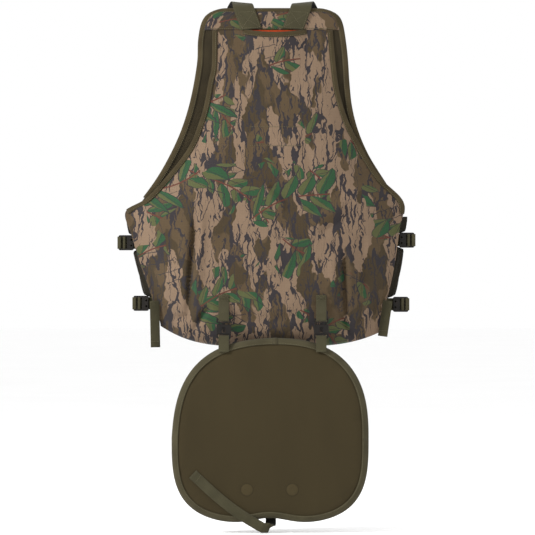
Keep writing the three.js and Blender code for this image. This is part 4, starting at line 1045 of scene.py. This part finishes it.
# ---- the adjusters' free tails ----
# Two loose ends of the lower pull webs, folded back on themselves and sewn, hang over the bag's lower corners.
TAIL_HEM = 0.0125
TAILS = (("left", -1, -0.208, 0.0112, -0.657, 0.002), ("right", 1, 0.220, 0.0098, -0.636, -0.010))
for name, side, inner, proud, low, drift in TAILS:
    wide = 0.019
    turn = math.atan(0.35)
    x = inner + side * math.cos(turn) * wide / 2
    y = back_y(inner) - proud - math.sin(turn) * wide / 2
    steps = np.linspace(0, 1, 26)
    path = [(x + drift * f, y + 0.0004 * math.sin(9 * f), mix(-0.568, low, f)) for f in steps]
    long = -0.568 - low
    hem_from = 1 - TAIL_HEM / long
    tail = carried(
        f"tail_webbing_{name}", path, [(1, -side * 0.35, 0)], ribbon(wide),
        swell=lambda f, h=hem_from: 1 + 0.75 * ease((f - h + 0.02) / 0.02),
    )
    fix(tail, web_weave, "webbing", f"adjuster_tail_{name}")
    across = np.array([1, -side * 0.35, 0]) / math.hypot(1, 0.35)
    off = np.array([-side * 0.35, -1, 0]) / math.hypot(1, 0.35) * 0.0013
    z = low + TAIL_HEM - 0.0015
    cx = x + drift * hem_from
    row = [np.array([cx, y, z]) + across * k + off for k in (-0.0085, 0.0085)]
    sewn(f"tail_stitches_{name}", [row], f"tail_{name}", pitch=0.0028)

# ---- seat clips' webbing: from the bag through each plug, and from each socket to the seat ----
# 20 mm webbing. A crossed box holds the upper end to the bag; the lower web is folded round the socket's bar.
LOOP_R = 0.004
CLIP_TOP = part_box("clip_plug_left")[1].z
CLIP_Y = (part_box("clip_socket_left")[0].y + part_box("clip_socket_left")[1].y) / 2
HINGE_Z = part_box("socket_loop_left")[0].z
CLIP_HIGH, BAR = 0.0386, 0.003
FOLD_Y = CLIP_Y - 0.0065
SEAT_FACE = FOLD_Y + 0.0058
TAB_Y = SEAT_FACE - 0.0006 - WEB_THICK - 0.0002


def bar_turn(x, y, z, a, b, steps=14):
    return [np.array([x, y + LOOP_R * math.cos(t), z + LOOP_R * math.sin(t)]) for t in np.linspace(a, b, steps)]


for (name, side), x in zip(SIDES, CLIP_X):
    def off_bag(z):
        return min(on_bag(x + d, z) for d in (-0.01, 0, 0.01)) - 0.0014

    bar_z = CLIP_TOP - BAR / 2
    upper = [np.array([x, off_bag(z), z]) for z in (-0.5565, -0.562, -0.568)]
    lead = through([*upper, np.array([x, CLIP_Y - LOOP_R - 0.0002, -0.592])], 6)
    path = lead + bar_turn(x, CLIP_Y, bar_z, -math.pi, 0) + [np.array([x, CLIP_Y + LOOP_R - 0.0002, bar_z + 0.005])]
    web = carried(f"bag_webbing_{name}", path, [(1, 0, 0)], ribbon(WEB_NARROW))
    fix(web, web_weave, "webbing", f"bag_web_{name}")
    up = (upper[0] - upper[2]) / np.linalg.norm(upper[0] - upper[2])
    corner = upper[2] + (-0.008, 0, 0.0005)
    patch = crossed_box(corner, np.array([1.0, 0, 0]), up, 0.016, 0.0105, np.array([0, -0.0009, 0]))
    sewn(f"bag_web_stitches_{name}", patch, "back", pitch=0.0026, thick=0.0003)

    # The lower web goes round the socket's bar, and its two plies run on down to the seat as the stitched tab.
    ply = WEB_THICK / 2 + 0.0001
    socket_bar = CLIP_TOP - CLIP_HIGH + BAR / 2 + 0.0005
    tab_foot = HINGE_Z - 0.0192
    loop = [np.array([x, TAB_Y + ply, z]) for z in np.linspace(tab_foot, HINGE_Z + 0.0015, 14)]
    loop += bar_turn(x, CLIP_Y, socket_bar, -0.85, math.pi + 0.1)
    loop += [np.array([x, TAB_Y - ply, z]) for z in np.linspace(HINGE_Z + 0.0015, tab_foot, 14)]
    web = carried(f"seat_webbing_{name}", loop, [(1, 0, 0)], ribbon(WEB_NARROW))
    web.data.materials.append(web_weave)
    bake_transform(web)
    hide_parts(f"socket_loop_{name}", f"seat_tab_{name}")
    row = [[(x - 0.008, TAB_Y - 0.0015, HINGE_Z - 0.016), (x + 0.008, TAB_Y - 0.0015, HINGE_Z - 0.016)]]
    sewn(f"seat_tab_stitches_{name}", row, "seat", pitch=0.0026, thick=0.0003)

# ---- seat pad: closed-cell foam in brushed cloth, with its edge tape ----
# A rounded pad with a hollow in its lower edge. Two magnets lie under the outer cloth.
SEAT_WIDE, SEAT_UP, SEAT_DOWN, SEAT_NOTCH, NOTCH_WIDE = 0.374, 0.190, 0.163, 0.011, 0.046
seat_low, seat_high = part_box("seat_binding")
SEAT_MID_Y = (seat_low.y + seat_high.y) / 2
SEAT_MID_Z = seat_high.z - SEAT_UP - 0.0015
magnets = [(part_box(f"seat_magnet_{n}")[0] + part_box(f"seat_magnet_{n}")[1]) / 2 for n, _ in SIDES]


SEAT_SIDE = 0.004


def seat_edge(a, inset=0.0):
    """A place on the seat's outline, at an angle about its middle, drawn in from the edge by an inset."""
    c, s = math.cos(a), math.sin(a)
    high = (SEAT_UP if s > 0 else SEAT_DOWN) - inset
    power = 2.6 if s > 0 else 3.25
    half = SEAT_WIDE / 2 - inset
    r = ((abs(c) / half) ** power + (abs(s) / high) ** power) ** (-1 / power)
    if c < 0 < s:
        r *= 1 + 0.032 * math.sin(2 * a)
    notch = SEAT_NOTCH * math.exp(-((r * c / NOTCH_WIDE) ** 2)) if s < 0 else 0
    return r * c, r * s + notch


def seat_shell():
    """The pad as rings from the middle of its outer face, round its edge, to the middle of its inner face."""
    spokes, rings = 96, []
    for share in np.linspace(0.06, 1, 26):
        rings.append((share, 1))
    profile = [(share, 1) for share in np.linspace(0.08, 0.9, 18)] + [(0.94, 0.97), (0.965, 0.88), (0.982, 0.7)]
    profile += [(0.992, 0.4), (0.994, 0.0)]
    profile += [(a, -b) for a, b in profile[::-1][1:]]
    points, faces = [(0, -1, 0)], []
    for share, depth in profile:
        for k in range(spokes):
            x, z = seat_edge(2 * math.pi * k / spokes)
            points.append((x * share, -depth, z * share))
    points.append((0, 1, 0))
    for k in range(spokes):
        n = (k + 1) % spokes
        faces.append((0, 1 + n, 1 + k))
        for r in range(len(profile) - 1):
            a, b = 1 + r * spokes, 1 + (r + 1) * spokes
            faces.append((a + k, a + n, b + n, b + k))
        last = 1 + (len(profile) - 1) * spokes
        faces.append((len(points) - 1, last + k, last + n))
    half = 0.0076
    return [(SEAT_SIDE + x, SEAT_MID_Y + y * half, SEAT_MID_Z + z) for x, y, z in points], faces


seat_cloth, tree, shader = new_finish("seat_cloth", Roughness=0.95, Sheen_Weight=0.06, Sheen_Roughness=0.55)
shader.inputs["Specular IOR Level"].default_value = 0.1
place = body_place(tree)
nap = grain(tree, place, 1500, 3, 0.6)
brushed = grain(tree, stretched(tree, place, 9, 9, 3), 1.0, 3)
weft = calc(tree, "MULTIPLY", ribs(tree, place, 0, 0.0014), ribs(tree, place, 2, 0.0014))
tone = calc(tree, "MULTIPLY_ADD", brushed, 0.55, calc(tree, "MULTIPLY", nap, 0.45))
colour = blend_dye(tree, step_up(tree, tone, 0.3, 0.72), dye(62, 53, 33), dye(76, 66, 42))
# Painted light and shade over the magnets: each disc is painted paler as a painted highlight on the raised cloth, and
# a dark ring round it is a painted shadow.
for magnet in magnets:
    centre = stretched(tree, place, 1, 0, 1, (-magnet.x, 0, -magnet.z))
    gap = put(tree, "VectorMath", {0: centre}, operation="LENGTH").outputs["Value"]
    from_rim = calc(tree, "ABSOLUTE", calc(tree, "SUBTRACT", gap, 0.0118))
    ring = calc(tree, "SUBTRACT", 1.0, step_up(tree, from_rim, 0, 0.0016))
    colour = blend_dye(tree, calc(tree, "MULTIPLY", step_up(tree, gap, 0.0116, 0.0106), 0.35), colour, dye(96, 84, 56))
    colour = blend_dye(tree, calc(tree, "MULTIPLY", ring, 0.4), colour, dye(44, 37, 22))
tree.links.new(colour, shader.inputs["Base Color"])
relief(tree, shader, calc(tree, "ADD", nap, calc(tree, "MULTIPLY", weft, 0.6)), 0.00025, 0.7)

points, faces = seat_shell()
seat_pad = mesh_piece("seat_pad_cloth", points, faces)
puffed(seat_pad, 0.0026, 0.005)
# Over the magnets the cloth stands up a little in two discs, each with a pressed ring.
for vertex in seat_pad.data.vertices:
    for magnet in magnets:
        gap = math.hypot(vertex.co.x - magnet.x, vertex.co.z - magnet.z)
        if vertex.co.y < SEAT_MID_Y and gap < 0.03:
            ring = math.exp(-(((gap - 0.0125) / 0.0018) ** 2))
            vertex.co.y += 0.0007 * ring - 0.0006 * ease((0.0118 - gap) / 0.003)
fix(seat_pad, seat_cloth, "seat_cloth", "seat_foam", "seat_cover_outer", "seat_cover_inner",
    "seat_magnet_left", "seat_magnet_right")

SEAT_TAPE = 0.0084
angles = np.linspace(0, 2 * math.pi, 240, endpoint=False)
rim = [np.array([SEAT_SIDE + seat_edge(a)[0], SEAT_MID_Y, SEAT_MID_Z + seat_edge(a)[1]]) for a in angles]
ways = np.array([r - np.array([SEAT_SIDE, SEAT_MID_Y, SEAT_MID_Z]) for r in rim])
tangent = np.roll(rim, -1, 0) - np.roll(rim, 1, 0)
tangent /= np.linalg.norm(tangent, axis=1, keepdims=True)
ways = ways - tangent * (ways * tangent).sum(1, keepdims=True)
ways /= np.linalg.norm(ways, axis=1, keepdims=True)
rim = np.array(rim) - ways * 0.004


def seat_tape_section():
    outer = [(-SEAT_TAPE, 0.0094), (-0.006, 0.0092), (-0.003, 0.0083), (0, 0.0066), (0.0026, 0.0046), (0.004, 0.0018)]
    whole = outer + [(u, -v) for u, v in outer[::-1]]
    inner = [(-SEAT_TAPE, -0.0083), (-0.005, -0.0078), (0, -0.0052), (0.002, 0), (0, 0.0052), (-0.005, 0.0078),
             (-SEAT_TAPE, 0.0083)]
    return whole + inner


seat_tape = carried("seat_tape", rim, ways, seat_tape_section(), closed=True)
fix(seat_tape, seam_tape, "edge_tape", "seat_binding")
sewn(
    "seat_tape_stitches",
    [[r - w * (SEAT_TAPE - 0.002) + np.array([0, -0.0093, 0]) for r, w in zip(rim, ways)]],
    "seat",
    pitch=0.003,
)
# The tape's two ends overlap at the top of the seat.
join = [i for i, a in enumerate(angles) if 1.48 < a < 1.56]
lapped = carried("seat_tape_join", [rim[i] + np.array([0, 0, 0.0004]) for i in join], [ways[i] for i in join],
                 [(u * 1.03, v * 1.06) for u, v in seat_tape_section()])
fix(lapped, seam_tape, "edge_tape", body="seat")

# ---- carry strap: 20 mm webbing from behind the seat's lower edge, laid up across its outer face ----
SEAT_LOW = SEAT_MID_Z - SEAT_DOWN + SEAT_NOTCH
SEAT_BACK = seat_high.y - 0.0002
root_x = 0.0052
fold = np.array([-0.010, SEAT_FACE - 0.00125, SEAT_LOW - 0.018])
tip = np.array([-0.143, SEAT_FACE - 0.00125, SEAT_MID_Z - 0.068])
run_way = (tip - fold) / np.linalg.norm(tip - fold)
side_way = np.array([-run_way[2], 0, run_way[0]]) * -1
root_path = through([
    (root_x, SEAT_BACK + 0.0014, SEAT_LOW + 0.0105), (root_x, SEAT_BACK + 0.0014, SEAT_LOW - 0.004),
    (root_x, SEAT_BACK - 0.005, SEAT_LOW - 0.012), (root_x - 0.001, SEAT_BACK - 0.012, SEAT_LOW - 0.0165),
    (root_x - 0.004, SEAT_FACE + 0.003, SEAT_LOW - 0.0185),
], 5)
tail_path = [
    fold + (tip - fold) * f - side_way * 0.0075 * math.sin(math.pi * f) * (1 - 0.3 * f)
    + np.array([0, -0.0028 * math.sin(math.pi * f) ** 2, 0])
    for f in np.linspace(0, 1, 40)
]
strap_sides = [(1, 0, 0)] * 10
strap_sides += [tuple(mix(np.array([1.0, 0, 0]), side_way, ease((i - 9) / (len(root_path) - 9))))
                for i in range(10, len(root_path))]
strap_sides += [tuple(side_way)] * len(tail_path)
long = len(root_path) + len(tail_path) - 1
carry = carried(
    "carry_webbing", root_path + tail_path, strap_sides, ribbon(WEB_NARROW),
    swell=lambda f: 1 + 0.7 * ease((f * long - long + 4) / 1.5),
)
carry.data.materials.append(web_weave)
# The carry strap's hidden face is painted darker, as painted shade.
shade_hidden_face(carry, painted_shade_web)
tuple(tail_path[2])
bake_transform(carry)
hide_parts("carry_strap_root", "carry_strap_tail")
edge = tip - run_way * 0.014 + np.array([0, -0.0014, 0])
sewn("carry_stitches", [[edge - side_way * 0.0085, edge + side_way * 0.0085]], "carry_strap", pitch=0.0028)

# ---- waist strap: a plug on the left panel and a socket on the right, hanging open ----
WAIST_X, WAIST_Z = 0.046, -0.506
panel_face = front_y(WAIST_X) + FRONT_THICK + 0.00345
waist_y = panel_face + 0.009
for name, side in SIDES:
    bar_z = WAIST_Z - 0.034 - BAR / 2
    x = side * WAIST_X
    path = through([(x, panel_face, z) for z in (-0.482, -0.495, -0.514)] + [(x, waist_y - LOOP_R, -0.530)], 5)
    path += bar_turn(x, waist_y, bar_z, -math.pi, 0) + [np.array([x, waist_y + LOOP_R, bar_z + 0.014])]
    web = carried(f"waist_webbing_{name}", path, [(1, 0, 0)], ribbon(WEB_NARROW))
    fix(web, web_weave, "webbing", f"waist_web_{name}")
    patch = crossed_box((x - 0.008, panel_face, -0.499), np.array([1.0, 0, 0]), np.array([0, 0, 1.0]), 0.016, 0.014,
                        np.array([0, 0.0009, 0]))
    sewn(f"waist_stitches_{name}", patch, f"front_{name}", pitch=0.0026, thick=0.0003)

# ---- the object's size, beside the solids' ----
import json

low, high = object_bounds()
{"cad": [list(cad_low), list(cad_high)], "made": [list(low), list(high)]}
